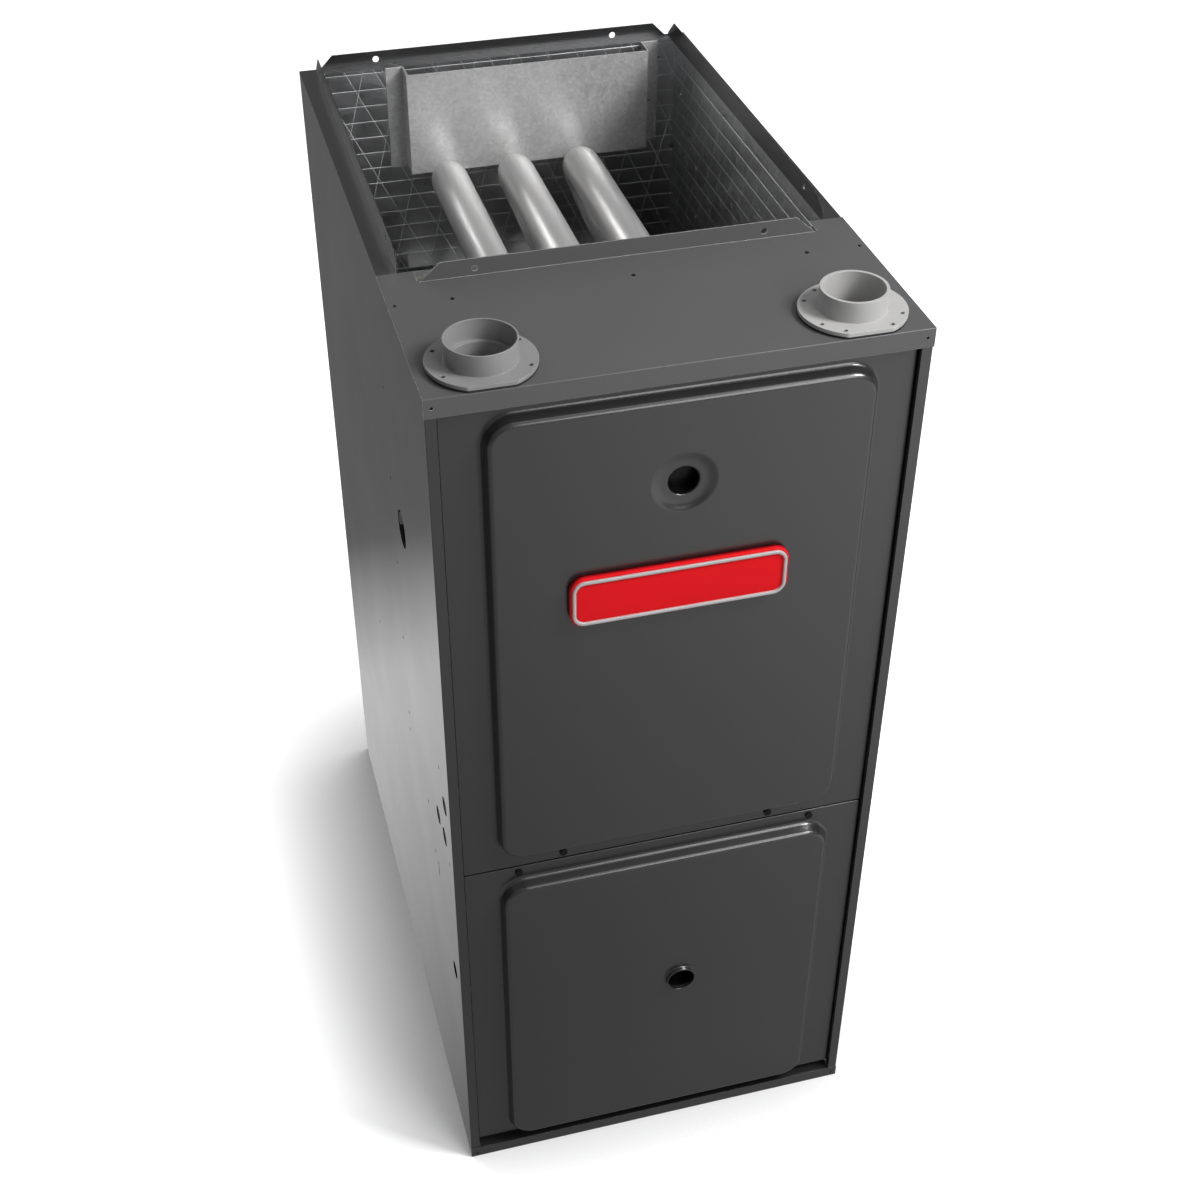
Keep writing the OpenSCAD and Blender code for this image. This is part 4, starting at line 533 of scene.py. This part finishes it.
@dataclass(frozen=True)
class Circuit(Finish):
    """Solder mask over copper: a net of traces seen as faint lighter lines."""

    pitch_mm: float = 9.0

    def dress(self, board: Board, shader: bpy.types.Node) -> None:
        """Feeds colour, roughness and normal from a net of cell borders."""
        turned = board.turn(board.place(), (90, 0, 0))
        net = board.cells(turned, self.pitch_mm, "DISTANCE_TO_EDGE")
        trace = board.span(net.outputs["Distance"], 0.04, 0.1, 1.0, 0.0)
        copper = tuple(min(1.0, c * 2.1 + 0.01) for c in self.colour)
        board.feed(shader.inputs["Base Color"], board.blend(trace, self.colour, copper))
        board.feed(shader.inputs["Roughness"],
                   board.span(trace, 0.0, 1.0, self.roughness, self.roughness * 0.7))
        board.feed(shader.inputs["Normal"], board.bump(trace, 0.05))


@dataclass(frozen=True)
class ShadeDarkGlass(Finish):
    """A sight glass painted near black, a painted shade for the dark inside behind the clear lens,
    with a faint film of dust.
    """

    def dress(self, board: Board, shader: bpy.types.Node) -> None:
        """Feeds roughness and normal: the glass keeps its plain near-black colour, which is
        painted shade.
        """
        film = board.noise(board.place(), 6.0, 4.0)
        board.feed(shader.inputs["Roughness"],
                   board.span(film, 0.3, 0.8, self.roughness, self.roughness + 0.12))
        board.feed(shader.inputs["Normal"], board.bump(film, 0.01))


# Each of the record's material slots and its finish
FINISHES: dict[str, Finish] = {
    "cabinet_paint": Paint("charcoal_paint", (0.014, 0.014, 0.0145), 0.30, specular=0.8, coat=0.3),
    # A lighter copy of the charcoal paint: painted light on the top panel's upward face, which has
    # the same paint as the rest
    "top_paint": Paint("top_paint", (0.078, 0.078, 0.079), 0.38),
    "galvanised": Zinc("galvanised_sheet", (0.57, 0.57, 0.57), 0.38, metallic=0.62,
                       crystal_mm=3.2, spread=0.12),
    "foil": Foil("foil_liner", (0.50, 0.505, 0.515), 0.32, metallic=1.0),
    "tube_steel": BareSteel("tube_steel", (0.62, 0.617, 0.61), 0.40, metallic=0.75,
                            tint=(0.50, 0.485, 0.465), tint_share=0.2, streak=0.1,
                            relief_mm=0.002),
    "dark_plastic": Moulded("dark_plastic", (0.022, 0.022, 0.023), 0.45),
    "gasket_rubber": Moulded("gasket_rubber", (0.010, 0.010, 0.010), 0.75, grain_mm=0.9,
                             grain_depth_mm=0.06),
    "vent_grey": Moulded("vent_grey", (0.21, 0.21, 0.21), 0.42),
    "vent_light": Moulded("vent_light", (0.36, 0.357, 0.352), 0.45),
    "pipe_white": Moulded("pipe_white", (0.72, 0.72, 0.70), 0.32, grain_depth_mm=0.006),
    "cast_aluminium": Moulded("cast_aluminium", (0.56, 0.57, 0.58), 0.46, metallic=1.0,
                              grain_mm=0.9, grain_depth_mm=0.05),
    "black_pipe": Moulded("black_pipe", (0.045, 0.043, 0.042), 0.55, metallic=0.6,
                          grain_mm=1.4, grain_depth_mm=0.05, spread=0.2),
    "brass": BareSteel("turned_brass", (0.66, 0.48, 0.20), 0.28, metallic=1.0,
                       tint=(0.5, 0.33, 0.12)),
    "switch_red": Moulded("switch_red", (0.58, 0.02, 0.018), 0.35, grain_depth_mm=0.006),
    "ceramic": Moulded("ceramic", (0.74, 0.70, 0.62), 0.72, grain_mm=0.8, grain_depth_mm=0.05),
    "motor_steel": Paint("motor_enamel", (0.07, 0.07, 0.073), 0.4),
    "board_green": Circuit("circuit_board", (0.018, 0.11, 0.045), 0.35),
    "white_plastic": Moulded("white_plastic", (0.68, 0.68, 0.66), 0.4, grain_depth_mm=0.01),
    # Painted shade: the clear lenses are made near black for the dark inside behind them
    "window": ShadeDarkGlass("sight_glass", (0.002, 0.002, 0.002), 0.3, specular=0.2),
    "badge_red": Moulded("badge_red", (0.62, 0.008, 0.012), 0.42, grain_mm=0.25,
                         grain_depth_mm=0.004, spread=0.03, specular=0.04),
    "badge_silver": BareSteel("badge_silver", (0.42, 0.415, 0.415), 0.5, metallic=0.2,
                              specular=0.2, tint=(0.40, 0.40, 0.40), stretch=(0.05, 1.0, 1.0)),
    # Screw heads near black: their own dark colour, made darker still as painted shade of the
    # recesses they sit in
    "screw_black": Moulded("screw_black", (0.004, 0.004, 0.004), 0.5, specular=0.2),
}


# ---- meshes


def new_object(name: str, data: bpy.types.ID) -> bpy.types.Object:
    """Makes an object of a mesh, lamp or camera and puts it in the scene."""
    made = bpy.data.objects.new(name, data)
    bpy.context.scene.collection.objects.link(made)
    return made


def ray_points(x: float, z: float, angles: np.ndarray, reach: np.ndarray,
               y: float) -> np.ndarray:
    """Points at the given reach along rays from (x, z), all at one y."""
    return np.stack([x + reach * np.cos(angles), np.full_like(angles, y),
                     z + reach * np.sin(angles)], axis=1)


def mesh_piece(name: str, points: np.ndarray, faces: Sequence[Sequence[int]], slot: str,
               body: str) -> bpy.types.Object:
    """Makes an object from points and faces, finishes it and lets it ride.

    Args:
        name: the piece's name.
        points: N x 3 points in metres.
        faces: corner numbers of each face.
        slot: the record's material slot.
        body: the CAD body that carries the piece.

    Returns:
        The new object.
    """
    mesh = bpy.data.meshes.new(name)
    mesh.from_pydata(points.tolist(), [], [list(map(int, f)) for f in faces])
    mesh.polygons.foreach_set("use_smooth", np.full(len(mesh.polygons), True))
    mesh.materials.append(FINISHES[slot].build())
    mesh.validate()
    mesh.update()
    piece = new_object(name, mesh)
    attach(piece, body)
    return piece


def grid_faces(rows: int, columns: int) -> np.ndarray:
    """Quads of a grid of points, stored row by row, its last column joined to its first.

    Args:
        rows: number of rows.
        columns: points in a row.

    Returns:
        An array of corner numbers, one quad a line.
    """
    r, c = np.meshgrid(np.arange(rows - 1), np.arange(columns), indexing="ij")
    after = (c + 1) % columns
    quads = np.stack([r * columns + c, r * columns + after,
                      (r + 1) * columns + after, (r + 1) * columns + c], axis=-1)
    return quads.reshape(-1, 4)


HALVINGS = 44


@dataclass(frozen=True)
class Panel:
    """A rounded rectangle in the X-Z plane, in metres."""

    x: float
    z: float
    half_w: float
    half_h: float
    radius: float

    def distance(self, x: np.ndarray, z: np.ndarray) -> np.ndarray:
        """Signed distance to the outline, below zero inside.

        With q the point's distance beyond the inner rectangle whose corners are the arcs'
        centres, it is |max(q, 0)| + min(max(qx, qz), 0) - radius.
        """
        qx = np.abs(x - self.x) - (self.half_w - self.radius)
        qz = np.abs(z - self.z) - (self.half_h - self.radius)
        outside = np.hypot(np.maximum(qx, 0), np.maximum(qz, 0))
        return outside + np.minimum(np.maximum(qx, qz), 0) - self.radius

    def corner_angles(self, x: float, z: float, per_corner: int) -> np.ndarray:
        """Directions from a point inside to points spread over the four corner arcs."""
        turn = np.linspace(0, np.pi / 2, per_corner)
        angles = []
        for quarter, (sx, sz) in enumerate(((1, 1), (-1, 1), (-1, -1), (1, -1))):
            around = turn + quarter * np.pi / 2
            cx = self.x + sx * (self.half_w - self.radius) + self.radius * np.cos(around)
            cz = self.z + sz * (self.half_h - self.radius) + self.radius * np.sin(around)
            angles.append(np.arctan2(cz - z, cx - x))
        return np.concatenate(angles)

    def ring(self, x: float, z: float, angles: np.ndarray, inset: float) -> np.ndarray:
        """Where rays from (x, z) meet the outline drawn in by inset.

        The distance grows along each ray, so the crossing is found by halving.

        Args:
            x, z: the rays' start, inside the outline.
            angles: the rays' directions, in radians.
            inset: how far inside the outline the ring lies.

        Returns:
            The ray lengths.
        """
        low = np.zeros_like(angles)
        high = np.full_like(angles, 2.0 * (self.half_w + self.half_h))
        for _ in range(HALVINGS):
            middle = (low + high) / 2
            gap = self.distance(x + middle * np.cos(angles), z + middle * np.sin(angles)) + inset
            low = np.where(gap < 0, middle, low)
            high = np.where(gap < 0, high, middle)
        return (low + high) / 2


def step_profile(width: float, height: float, radius: float, steps: int = 7) -> np.ndarray:
    """A soft step of sheet metal: a concave arc, a straight slope and a convex arc.

    The two arcs are equal and the slope is their common inner tangent. With d the distance
    between their centres, the slope's angle is that of the line of centres plus
    asin(2 r / d).

    Args:
        width: distance across the step.
        height: rise of the step.
        radius: radius of both arcs.
        steps: points on each arc.

    Returns:
        Rows of (distance across, rise).
    """
    across, up = width, height - 2 * radius
    slope = math.atan2(up, across) + math.asin(2 * radius / math.hypot(across, up))
    turn = np.linspace(0, slope, steps)
    foot = np.stack([radius * np.sin(turn), radius * (1 - np.cos(turn))], axis=1)
    brow = np.array([width, height]) - foot[::-1]
    return np.concatenate([foot, brow])


@dataclass
class PressedDoor:
    """A lift-off door: one pressed skin with an embossed panel and a round opening.

    The skin is one grid. Its columns are rays from the middle of the opening, and its rows
    are outlines: the bent edge, the flat rim, the panel's step, and rings round the opening.
    The grid is the outer face, and the sheet lies behind it. opening_rows holds each ring's
    radius and its depth behind the panel's face, in mm.
    """

    node: str
    body: str
    opening_x: float
    opening_z: float
    opening_rows: Sequence[tuple[float, float]]
    margin_bottom: float
    margin_top: float
    margin_x: float = 31.6 * MM
    step_w: float = 11.2 * MM
    step_h: float = 13.0 * MM
    step_r: float = 4.8 * MM
    panel_radius: float = 31.0 * MM
    edge_r: float = 0.8 * MM
    corner_r: float = 1.2 * MM
    sheet: float = 0.9 * MM
    rays: int = 120
    per_corner: int = 14

    def rows(self) -> tuple[Panel, Panel, list[tuple[str, float, float]]]:
        """The door's outline, the panel's foot, and the rows as (kind, inset or radius, y)."""
        low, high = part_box(self.node)
        face_y = low.y + self.raised()
        rim_y = face_y + self.step_h
        outline = Panel(0.0, (low.z + high.z) / 2, high.x, (high.z - low.z) / 2, self.corner_r)
        bottom, top = low.z + self.margin_bottom, high.z - self.margin_top
        foot = Panel(0.0, (bottom + top) / 2, high.x - self.margin_x, (top - bottom) / 2,
                     self.panel_radius)
        rows = [("edge", 0.0, high.y), ("edge", 0.0, rim_y + self.edge_r)]
        for turn in np.linspace(0, math.pi / 2, 5)[1:]:
            rows.append(("edge", self.edge_r * (1 - math.cos(turn)),
                         rim_y + self.edge_r * (1 - math.sin(turn))))
        for across, rise in step_profile(self.step_w, self.step_h, self.step_r):
            rows.append(("panel", across, rim_y - rise))
        for radius, depth in self.opening_rows:
            rows.append(("round", radius * MM, face_y + depth * MM))
        return outline, foot, rows

    def raised(self) -> float:
        """How far the opening's collar stands out in front of the panel."""
        return -min(depth for _, depth in self.opening_rows) * MM

    def build(self) -> bpy.types.Object:
        """Makes the skin and gives it its sheet thickness.

        Returns:
            The door's object, standing for its CAD node.
        """
        outline, foot, rows = self.rows()
        x, z = self.opening_x, self.opening_z
        even = np.linspace(-math.pi, math.pi, self.rays, endpoint=False)
        angles = np.sort(np.concatenate([
            even, foot.corner_angles(x, z, self.per_corner),
            outline.corner_angles(x, z, 3)]))
        lines = []
        for kind, amount, y in rows:
            if kind == "round":
                reach = np.full_like(angles, amount)
            else:
                panel = outline if kind == "edge" else foot
                reach = panel.ring(x, z, angles, amount)
            lines.append(ray_points(x, z, angles, reach, y))
        points = np.concatenate(lines)
        faces = grid_faces(len(rows), len(angles))
        door = mesh_piece(self.node + "_skin", points, faces, "cabinet_paint", self.body)
        thicken(door, self.sheet)
        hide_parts(self.node)
        return door


def thicken(piece: bpy.types.Object, wall: float) -> None:
    """Gives a surface a wall behind it, and keeps its flat faces flat-looking.

    Args:
        piece: the object.
        wall: the wall's thickness in metres.
    """
    solid = piece.modifiers.new("wall", "SOLIDIFY")
    solid.thickness = wall
    solid.offset = -1.0
    weigh(piece)


def weigh(piece: bpy.types.Object) -> None:
    """Weights the normals by face area, so that large flat faces stay flat."""
    normals = piece.modifiers.new("normals", "WEIGHTED_NORMAL")
    normals.keep_sharp = True
    normals.weight = 80


@dataclass
class BevelledCopy:
    """A CAD node's copy with its sharp edges broken, so that they catch the light, and its bevel
    faces marked for a painted highlight.
    """

    node: str
    body: str
    slot: str
    width: float
    segments: int = 2
    angle: float = 32.0

    def build(self) -> bpy.types.Object:
        """Copies, merges and bevels the node's mesh, and stands for the node.

        Returns:
            The bevelled copy.
        """
        source = bpy.data.objects[self.node]
        mesh = bpy.data.meshes.new(self.node + "_sheet")
        work = bmesh.new()
        work.from_mesh(source.data)
        bmesh.ops.remove_doubles(work, verts=work.verts, dist=2e-6)
        bmesh.ops.dissolve_limit(work, angle_limit=math.radians(0.5), verts=work.verts,
                                 edges=work.edges)
        limit = math.radians(self.angle)
        # Marks the bevel faces, which painted finishes colour as a painted highlight
        marked = work.faces.layers.float.new(HIGHLIGHT_EDGE_LAYER)
        sharp = [e for e in work.edges if e.is_manifold and e.calc_face_angle() > limit]
        bent = bmesh.ops.bevel(work, geom=sharp, offset=self.width, segments=self.segments,
                               offset_type="OFFSET", profile=0.5, affect="EDGES",
                               clamp_overlap=True)
        for face in bent["faces"]:
            face[marked] = 1.0
        work.to_mesh(mesh)
        work.free()
        mesh.materials.append(FINISHES[self.slot].build())
        piece = new_object(self.node + "_sheet", mesh)
        mesh.polygons.foreach_set("use_smooth", np.full(len(mesh.polygons), True))
        weigh(piece)
        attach(piece, self.body)
        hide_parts(self.node)
        return piece


@dataclass
class Badge:
    """The blank badge: a red plate with a raised silver line a little inside its outline."""

    edge_r: float = 1.6 * MM
    corner_r: float = 14.0 * MM
    crown: float = 0.5 * MM
    seat: float = 0.8 * MM
    line_w: float = 3.4 * MM
    line_flatness: float = 0.35
    crown_start: float = 6.5 * MM
    crown_stop: float = 2 * MM
    columns: int = 96
    per_corner: int = 14
    body: str = "upper_door"

    def outline(self, node: str, radius: float) -> Panel:
        """The outline of a node's box, its corners rounded by radius."""
        low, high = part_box(node)
        middle = (low + high) / 2
        return Panel(middle.x, middle.z, (high.x - low.x) / 2, (high.z - low.z) / 2, radius)

    def rings(self, panel: Panel, rows: Sequence[tuple[float, float]]) -> np.ndarray:
        """Points of outlines drawn in by each row's inset, at each row's y."""
        even = np.linspace(-math.pi, math.pi, self.columns, endpoint=False)
        angles = np.sort(np.concatenate([even, panel.corner_angles(panel.x, panel.z,
                                                                  self.per_corner)]))
        lines = []
        for inset, y in rows:
            reach = panel.ring(panel.x, panel.z, angles, inset)
            lines.append(ray_points(panel.x, panel.z, angles, reach, y))
        return np.array(lines)

    def build_plate(self) -> bpy.types.Object:
        """The red plate, its edge rounded over and its face a little crowned.

        The face rises from the border inwards as crown * (1 - (1 - t)^2), with t the share
        of the way to the middle line.
        """
        low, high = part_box("badge_plate")
        panel = self.outline("badge_plate", self.corner_r)
        rows = [(0.0, high.y), (0.0, low.y + self.edge_r)]
        rows += [(self.edge_r * (1 - math.cos(a)), low.y + self.edge_r * (1 - math.sin(a)))
                 for a in np.linspace(0, math.pi / 2, 7)[1:]]
        start, end = self.crown_start, panel.half_h - self.crown_stop
        rows += [(start + (end - start) * t, low.y - self.crown * (1 - (1 - t) ** 2))
                 for t in np.linspace(0, 1, 7)]
        plate = self.closed("badge_field", panel, rows, "badge_red", fill=True)
        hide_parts("badge_plate")
        return plate

    def build_border(self) -> bpy.types.Object:
        """The silver line: a ring with a softly flattened top, let a little into the plate."""
        low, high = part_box("badge_border")
        plate_low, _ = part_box("badge_plate")
        inset = low.x - plate_low.x
        panel = self.outline("badge_border", self.corner_r - inset)
        seat_y = plate_low.y + self.seat
        rows = [(0.0, seat_y)]
        rows += [(self.line_w / 2 * (1 - math.cos(a)),
                  high.y - (high.y - low.y) * math.sin(a) ** self.line_flatness)
                 for a in np.linspace(0, math.pi, 13)]
        rows += [(self.line_w, seat_y)]
        border = self.closed("badge_rim", panel, rows, "badge_silver", fill=False)
        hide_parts("badge_border")
        return border

    def build(self) -> list[bpy.types.Object]:
        """Makes the plate and the border.

        Returns:
            The two pieces.
        """
        return [self.build_plate(), self.build_border()]

    def closed(self, name: str, panel: Panel, rows: Sequence[tuple[float, float]], slot: str,
               fill: bool) -> bpy.types.Object:
        """A closed piece through the given rows, its back joined to its start.

        Args:
            name: the piece's name.
            panel: its outline.
            rows: (inset, y) pairs from the outside of the back to the middle of the front.
            slot: the record's slot.
            fill: whether the front and back are closed by faces, or the piece is a ring.

        Returns:
            The piece.
        """
        lines = self.rings(panel, rows)
        count = lines.shape[1]
        if not fill:
            lines = np.concatenate([lines, lines[:1]])
        faces = [list(f[::-1]) for f in grid_faces(len(lines), count)]
        if fill:
            faces.append(list(range((len(lines) - 1) * count, len(lines) * count)))
            faces.append(list(range(count))[::-1])
        points = lines.reshape(-1, 3)
        piece = mesh_piece(name, points, faces, slot, self.body)
        merge(piece)
        weigh(piece)
        return piece


def merge(piece: bpy.types.Object) -> None:
    """Joins doubled points and turns the faces outwards."""
    work = bmesh.new()
    work.from_mesh(piece.data)
    bmesh.ops.remove_doubles(work, verts=work.verts, dist=1e-6)
    bmesh.ops.recalc_face_normals(work, faces=work.faces)
    work.to_mesh(piece.data)
    work.free()


# ---- the furnace


@dataclass
class Furnace:
    """All pieces of the furnace, in the order in which they are dressed."""

    record: dict
    nodes: dict[str, bpy.types.Object]
    copies: tuple[str, ...] = ("cabinet_wrap", "top_panel", "toe_rail", "exhaust_flange",
                               "intake_flange", "rear_baffle", "vent_gaskets")
    sheet_edge: float = 0.45 * MM
    flange_edge: float = 0.6 * MM
    made: list[str] = field(default_factory=list)

    def node_body(self, node: str) -> str:
        """The CAD body that a node belongs to."""
        bodies = self.record["behaviour"]["bodies"]
        return next(body for body, members in bodies.items() if node in members)

    def node_slot(self, node: str) -> str:
        """The material slot that the record gives a node."""
        return next(s["material_slot"] for s in self.record["subparts"] if s["node"] == node)

    def finish_nodes(self) -> None:
        """Gives every CAD node the finish of its slot, by its material slots."""
        for name, piece in self.nodes.items():
            material = FINISHES[self.node_slot(name)].build()
            if not piece.material_slots:
                piece.data.materials.append(material)
            for entry in piece.material_slots:
                entry.material = material
            LOG.info("finished %s as %s", name, material.name)

    def dress_copies(self) -> None:
        """Breaks the sharp edges of the sheet-metal and moulded pieces in view."""
        for name in self.copies:
            width = self.flange_edge if "flange" in name else self.sheet_edge
            BevelledCopy(name, self.node_body(name), self.node_slot(name), width).build()
            self.made.append(name)
            LOG.info("bevelled %s", name)

    def build_doors(self) -> None:
        """Makes the two pressed doors round their openings."""
        upper = PressedDoor(
            "upper_door", "upper_door", 0.0, 0.9005,
            ((31.6, 0.0), (30.6, 0.06), (29.4, 0.3), (28.0, 0.8), (26.4, 1.5), (24.6, 2.15),
             (22.6, 2.6), (20.4, 2.85), (17.6, 2.95), (15.6, 3.0), (15.0, 3.15), (14.7, 3.5),
             (14.6, 4.0)),
            margin_bottom=15.6 * MM, margin_top=5.2 * MM)
        lower = PressedDoor(
            "lower_door", "lower_door", 0.0175, 0.2468,
            ((17.8, 0.0), (16.8, -0.35), (16.3, -1.2), (16.1, -4.0), (15.7, -4.4),
             (15.1, -4.5), (14.7, -4.2), (14.6, -3.6), (14.6, 0.6)),
            margin_bottom=0.4 * MM, margin_top=13.6 * MM)
        for door in (upper, lower):
            door.build()
            self.made.append(door.node)
            LOG.info("pressed %s", door.node)

    def build(self) -> None:
        """Dresses everything."""
        self.finish_nodes()
        self.dress_copies()
        self.build_doors()
        for piece in Badge().build():
            self.made.append(piece.name)
            LOG.info("shaped %s", piece.name)
        LOG.info("made %d pieces around %d nodes", len(self.made), len(self.nodes))


# ---- studio


@dataclass(frozen=True)
class Lamp:
    """A soft rectangular lamp, its place and aim in metres."""

    name: str
    place: tuple[float, float, float]
    aim: tuple[float, float, float]
    width: float
    height: float
    watts: float

    def build(self) -> bpy.types.Object:
        """Makes the lamp, turned to what it lights."""
        data = bpy.data.lights.new(self.name, "AREA")
        data.shape = "RECTANGLE"
        data.size, data.size_y = self.width, self.height
        data.energy = self.watts
        lamp = new_object(self.name, data)
        lamp.location = self.place
        direction = Vector(self.aim) - Vector(self.place)
        lamp.rotation_euler = direction.to_track_quat("-Z", "Y").to_euler()
        return lamp


class Light(Enum):
    """The studio's lamps: a key from the right, one overhead, one in front and a rim light."""

    KEY = Lamp("key", (1.5, -1.2, 2.6), (0.0, -0.1, 0.9), 0.7, 0.7, 72.0)
    TOP = Lamp("top", (0.6, -0.2, 3.2), (0.0, 0.1, 0.8), 1.3, 1.3, 7.0)
    FRONT = Lamp("front", (1.0, -2.5, 2.1), (0.0, -0.3, 0.8), 1.2, 1.6, 28.0)
    RIM = Lamp("rim", (-1.1, 2.0, 1.8), (0.0, -0.2, 1.0), 0.35, 0.9, 12.0)


@dataclass
class Studio:
    """Camera, lamps, world and floor."""

    place: tuple[float, float, float] = (-0.41788, -1.57754, 1.78007)
    right: tuple[float, float, float] = (0.96596, -0.25869, -0.00221)
    down: tuple[float, float, float] = (-0.16012, -0.5911, -0.79054)
    focal_px: float = 1798.68
    middle_px: tuple[float, float] = (579.45, 587.10)
    frame_px: float = 1200.0
    sensor_mm: float = 36.0
    floor_reach: float = 6.0
    floor_colour: Colour = (0.80, 0.80, 0.80)
    glow: float = 0.86
    painted_shadow_reach: float = 0.18
    painted_shadow_power: float = 3.5
    # Where and how bright the floor's painted reflection glows
    far_y: tuple[float, float] = (0.52, 0.86)
    far_share: float = 0.20
    side_y: tuple[float, float] = (-0.32, 0.42)
    side_share: float = 0.26
    front_x: tuple[float, float] = (-0.15, 0.95)
    front_share: tuple[float, float] = (0.42, 1.0)
    front_y: tuple[float, float] = (-1.45, -0.60)
    near_share: float = 0.62
    sky: Colour = (0.24, 0.24, 0.245)
    zenith: Colour = (0.30, 0.30, 0.31)
    ground: Colour = (0.10, 0.10, 0.10)
    horizon: tuple[float, float] = (-0.1, 0.35)
    ceiling: tuple[float, float] = (0.55, 0.88)
    doors_y: tuple[float, float] = (-0.45, -0.25)
    floor_z: float = -0.5 * MM

    def camera(self) -> None:
        """Sets the camera as it was fitted to the photograph."""
        data = bpy.data.cameras.new("camera")
        data.sensor_width = self.sensor_mm
        data.lens = self.focal_px / self.frame_px * self.sensor_mm
        data.shift_x = (self.frame_px / 2 - self.middle_px[0]) / self.frame_px
        data.shift_y = (self.middle_px[1] - self.frame_px / 2) / self.frame_px
        data.clip_end = 60.0
        camera = new_object("camera", data)
        right, down = Vector(self.right), Vector(self.down)
        axes = Matrix((right, -down, -right.cross(down))).transposed()
        camera.matrix_world = Matrix.Translation(self.place) @ axes.to_4x4()
        bpy.context.scene.camera = camera

    def world(self) -> None:
        """A grey room, darker below the horizon, which the camera sees as plain white.

        A direction's height above the horizon picks the grey between ground and sky. What
        mirrors sees a pale ceiling higher up.
        """
        world = bpy.data.worlds.new("sky")
        world.use_nodes = True
        board = Board(world.node_tree)
        back = world.node_tree.nodes["Background"]
        up = board.split(board.add("TexCoord").outputs["Generated"])[2]
        room = board.blend(board.span(up, *self.horizon), self.ground, self.sky)
        path = board.add("LightPath")
        ceiling = board.math("MULTIPLY", board.span(up, *self.ceiling),
                             path.outputs["Is Glossy Ray"])
        lit = board.blend(ceiling, room, self.zenith)
        board.feed(back.inputs["Color"],
                   board.blend(path.outputs["Is Camera Ray"], lit, (1.0, 1.0, 1.0)))
        bpy.context.scene.world = world

    def mirrored(self, board: Board) -> Socket:
        """How bright the floor glows in a reflection, from 0 to 1: a painted reflection, laid out
        for what the object's sides and front mirror.

        Beside the object it falls towards the front, and past far_y it is far_share. In
        front of the object it rises to the right, and falls close to the doors.
        """
        x, y, _ = board.split(board.place())
        beside = board.math("MULTIPLY", board.span(y, *self.side_y, self.side_share, 1.0),
                            board.span(y, *self.far_y, 1.0, self.far_share))
        ahead = board.math("MULTIPLY", board.span(x, *self.front_x, *self.front_share),
                           board.span(y, *self.front_y, 1.0, self.near_share))
        return board.math("ADD", board.math("MULTIPLY", beside, board.span(y, *self.doors_y)),
                          board.math("MULTIPLY", ahead, board.span(y, *self.doors_y, 1.0, 0.0)))

    def floor_paper(self) -> bpy.types.Material:
        """The floor's paper, white to the camera where nothing stands close over it.

        The camera sees its colour and a glow that fades near the object as the share of open sky
        to the power painted_shadow_power, a painted contact shadow. Reflections see the glow
        alone, by mirrored(), a painted reflection.
        """
        material = bpy.data.materials.new("floor_paper")
        material.use_nodes = True
        board = Board(material.node_tree)
        base = material.node_tree.nodes["Principled BSDF"]
        base.inputs["Roughness"].default_value = 0.9
        base.inputs["Specular IOR Level"].default_value = 0.0
        path = board.add("LightPath")
        glossy = board.math("MAXIMUM", path.outputs["Is Glossy Ray"],
                            path.outputs["Is Transmission Ray"])
        # Reflections see the floor dark except for the painted reflection glow
        board.feed(base.inputs["Base Color"],
                   board.blend(glossy, self.floor_colour, (0.02, 0.02, 0.02)))
        # Painted contact shadow: the camera's glow is darkened by ambient occlusion near the
        # object
        shade = board.add("AmbientOcclusion", samples=8)
        shade.inputs["Distance"].default_value = self.painted_shadow_reach
        open_sky = board.math("POWER", shade.outputs["AO"], self.painted_shadow_power)
        camera = board.math("MULTIPLY", board.math("MULTIPLY", open_sky, self.glow),
                            path.outputs["Is Camera Ray"])
        glow = board.add("Emission")
        board.feed(glow.inputs["Strength"],
                   board.math("MAXIMUM", camera,
                              board.math("MULTIPLY", glossy, self.mirrored(board))))
        both = board.add("AddShader")
        board.tree.links.new(base.outputs[0], both.inputs[0])
        board.tree.links.new(glow.outputs[0], both.inputs[1])
        output = material.node_tree.nodes["Material Output"]
        board.tree.links.new(both.outputs[0], output.inputs["Surface"])
        return material

    def floor(self) -> None:
        """Lays the floor under the object."""
        far = self.floor_reach
        corners = [(x, y, self.floor_z)
                   for x, y in ((-far, -far), (far, -far), (far, far), (-far, far))]
        mesh = bpy.data.meshes.new("floor")
        mesh.from_pydata(corners, [], [[0, 1, 2, 3]])
        mesh.materials.append(self.floor_paper())
        floor = new_object("floor", mesh)
        floor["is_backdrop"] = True

    def build(self) -> None:
        """Sets up everything but the object."""
        self.camera()
        for light in Light:
            light.value.build()
        self.world()
        self.floor()
        bpy.context.scene.view_settings.view_transform = "Standard"


def main() -> dict[str, list[list[float]]]:
    """Builds the scene.

    Returns:
        The CAD box and the visual model's box.
    """
    logging.basicConfig(level=logging.INFO, format="%(name)s: %(message)s")
    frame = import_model()
    cad_box = [list(corner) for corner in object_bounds()]
    Studio().build()
    Furnace(frame["record"], frame["nodes"]).build()
    bpy.context.view_layer.update()
    return {"cad": cad_box, "visual": [list(corner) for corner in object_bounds()]}


if __name__ == "__main__":
    sizes = main()
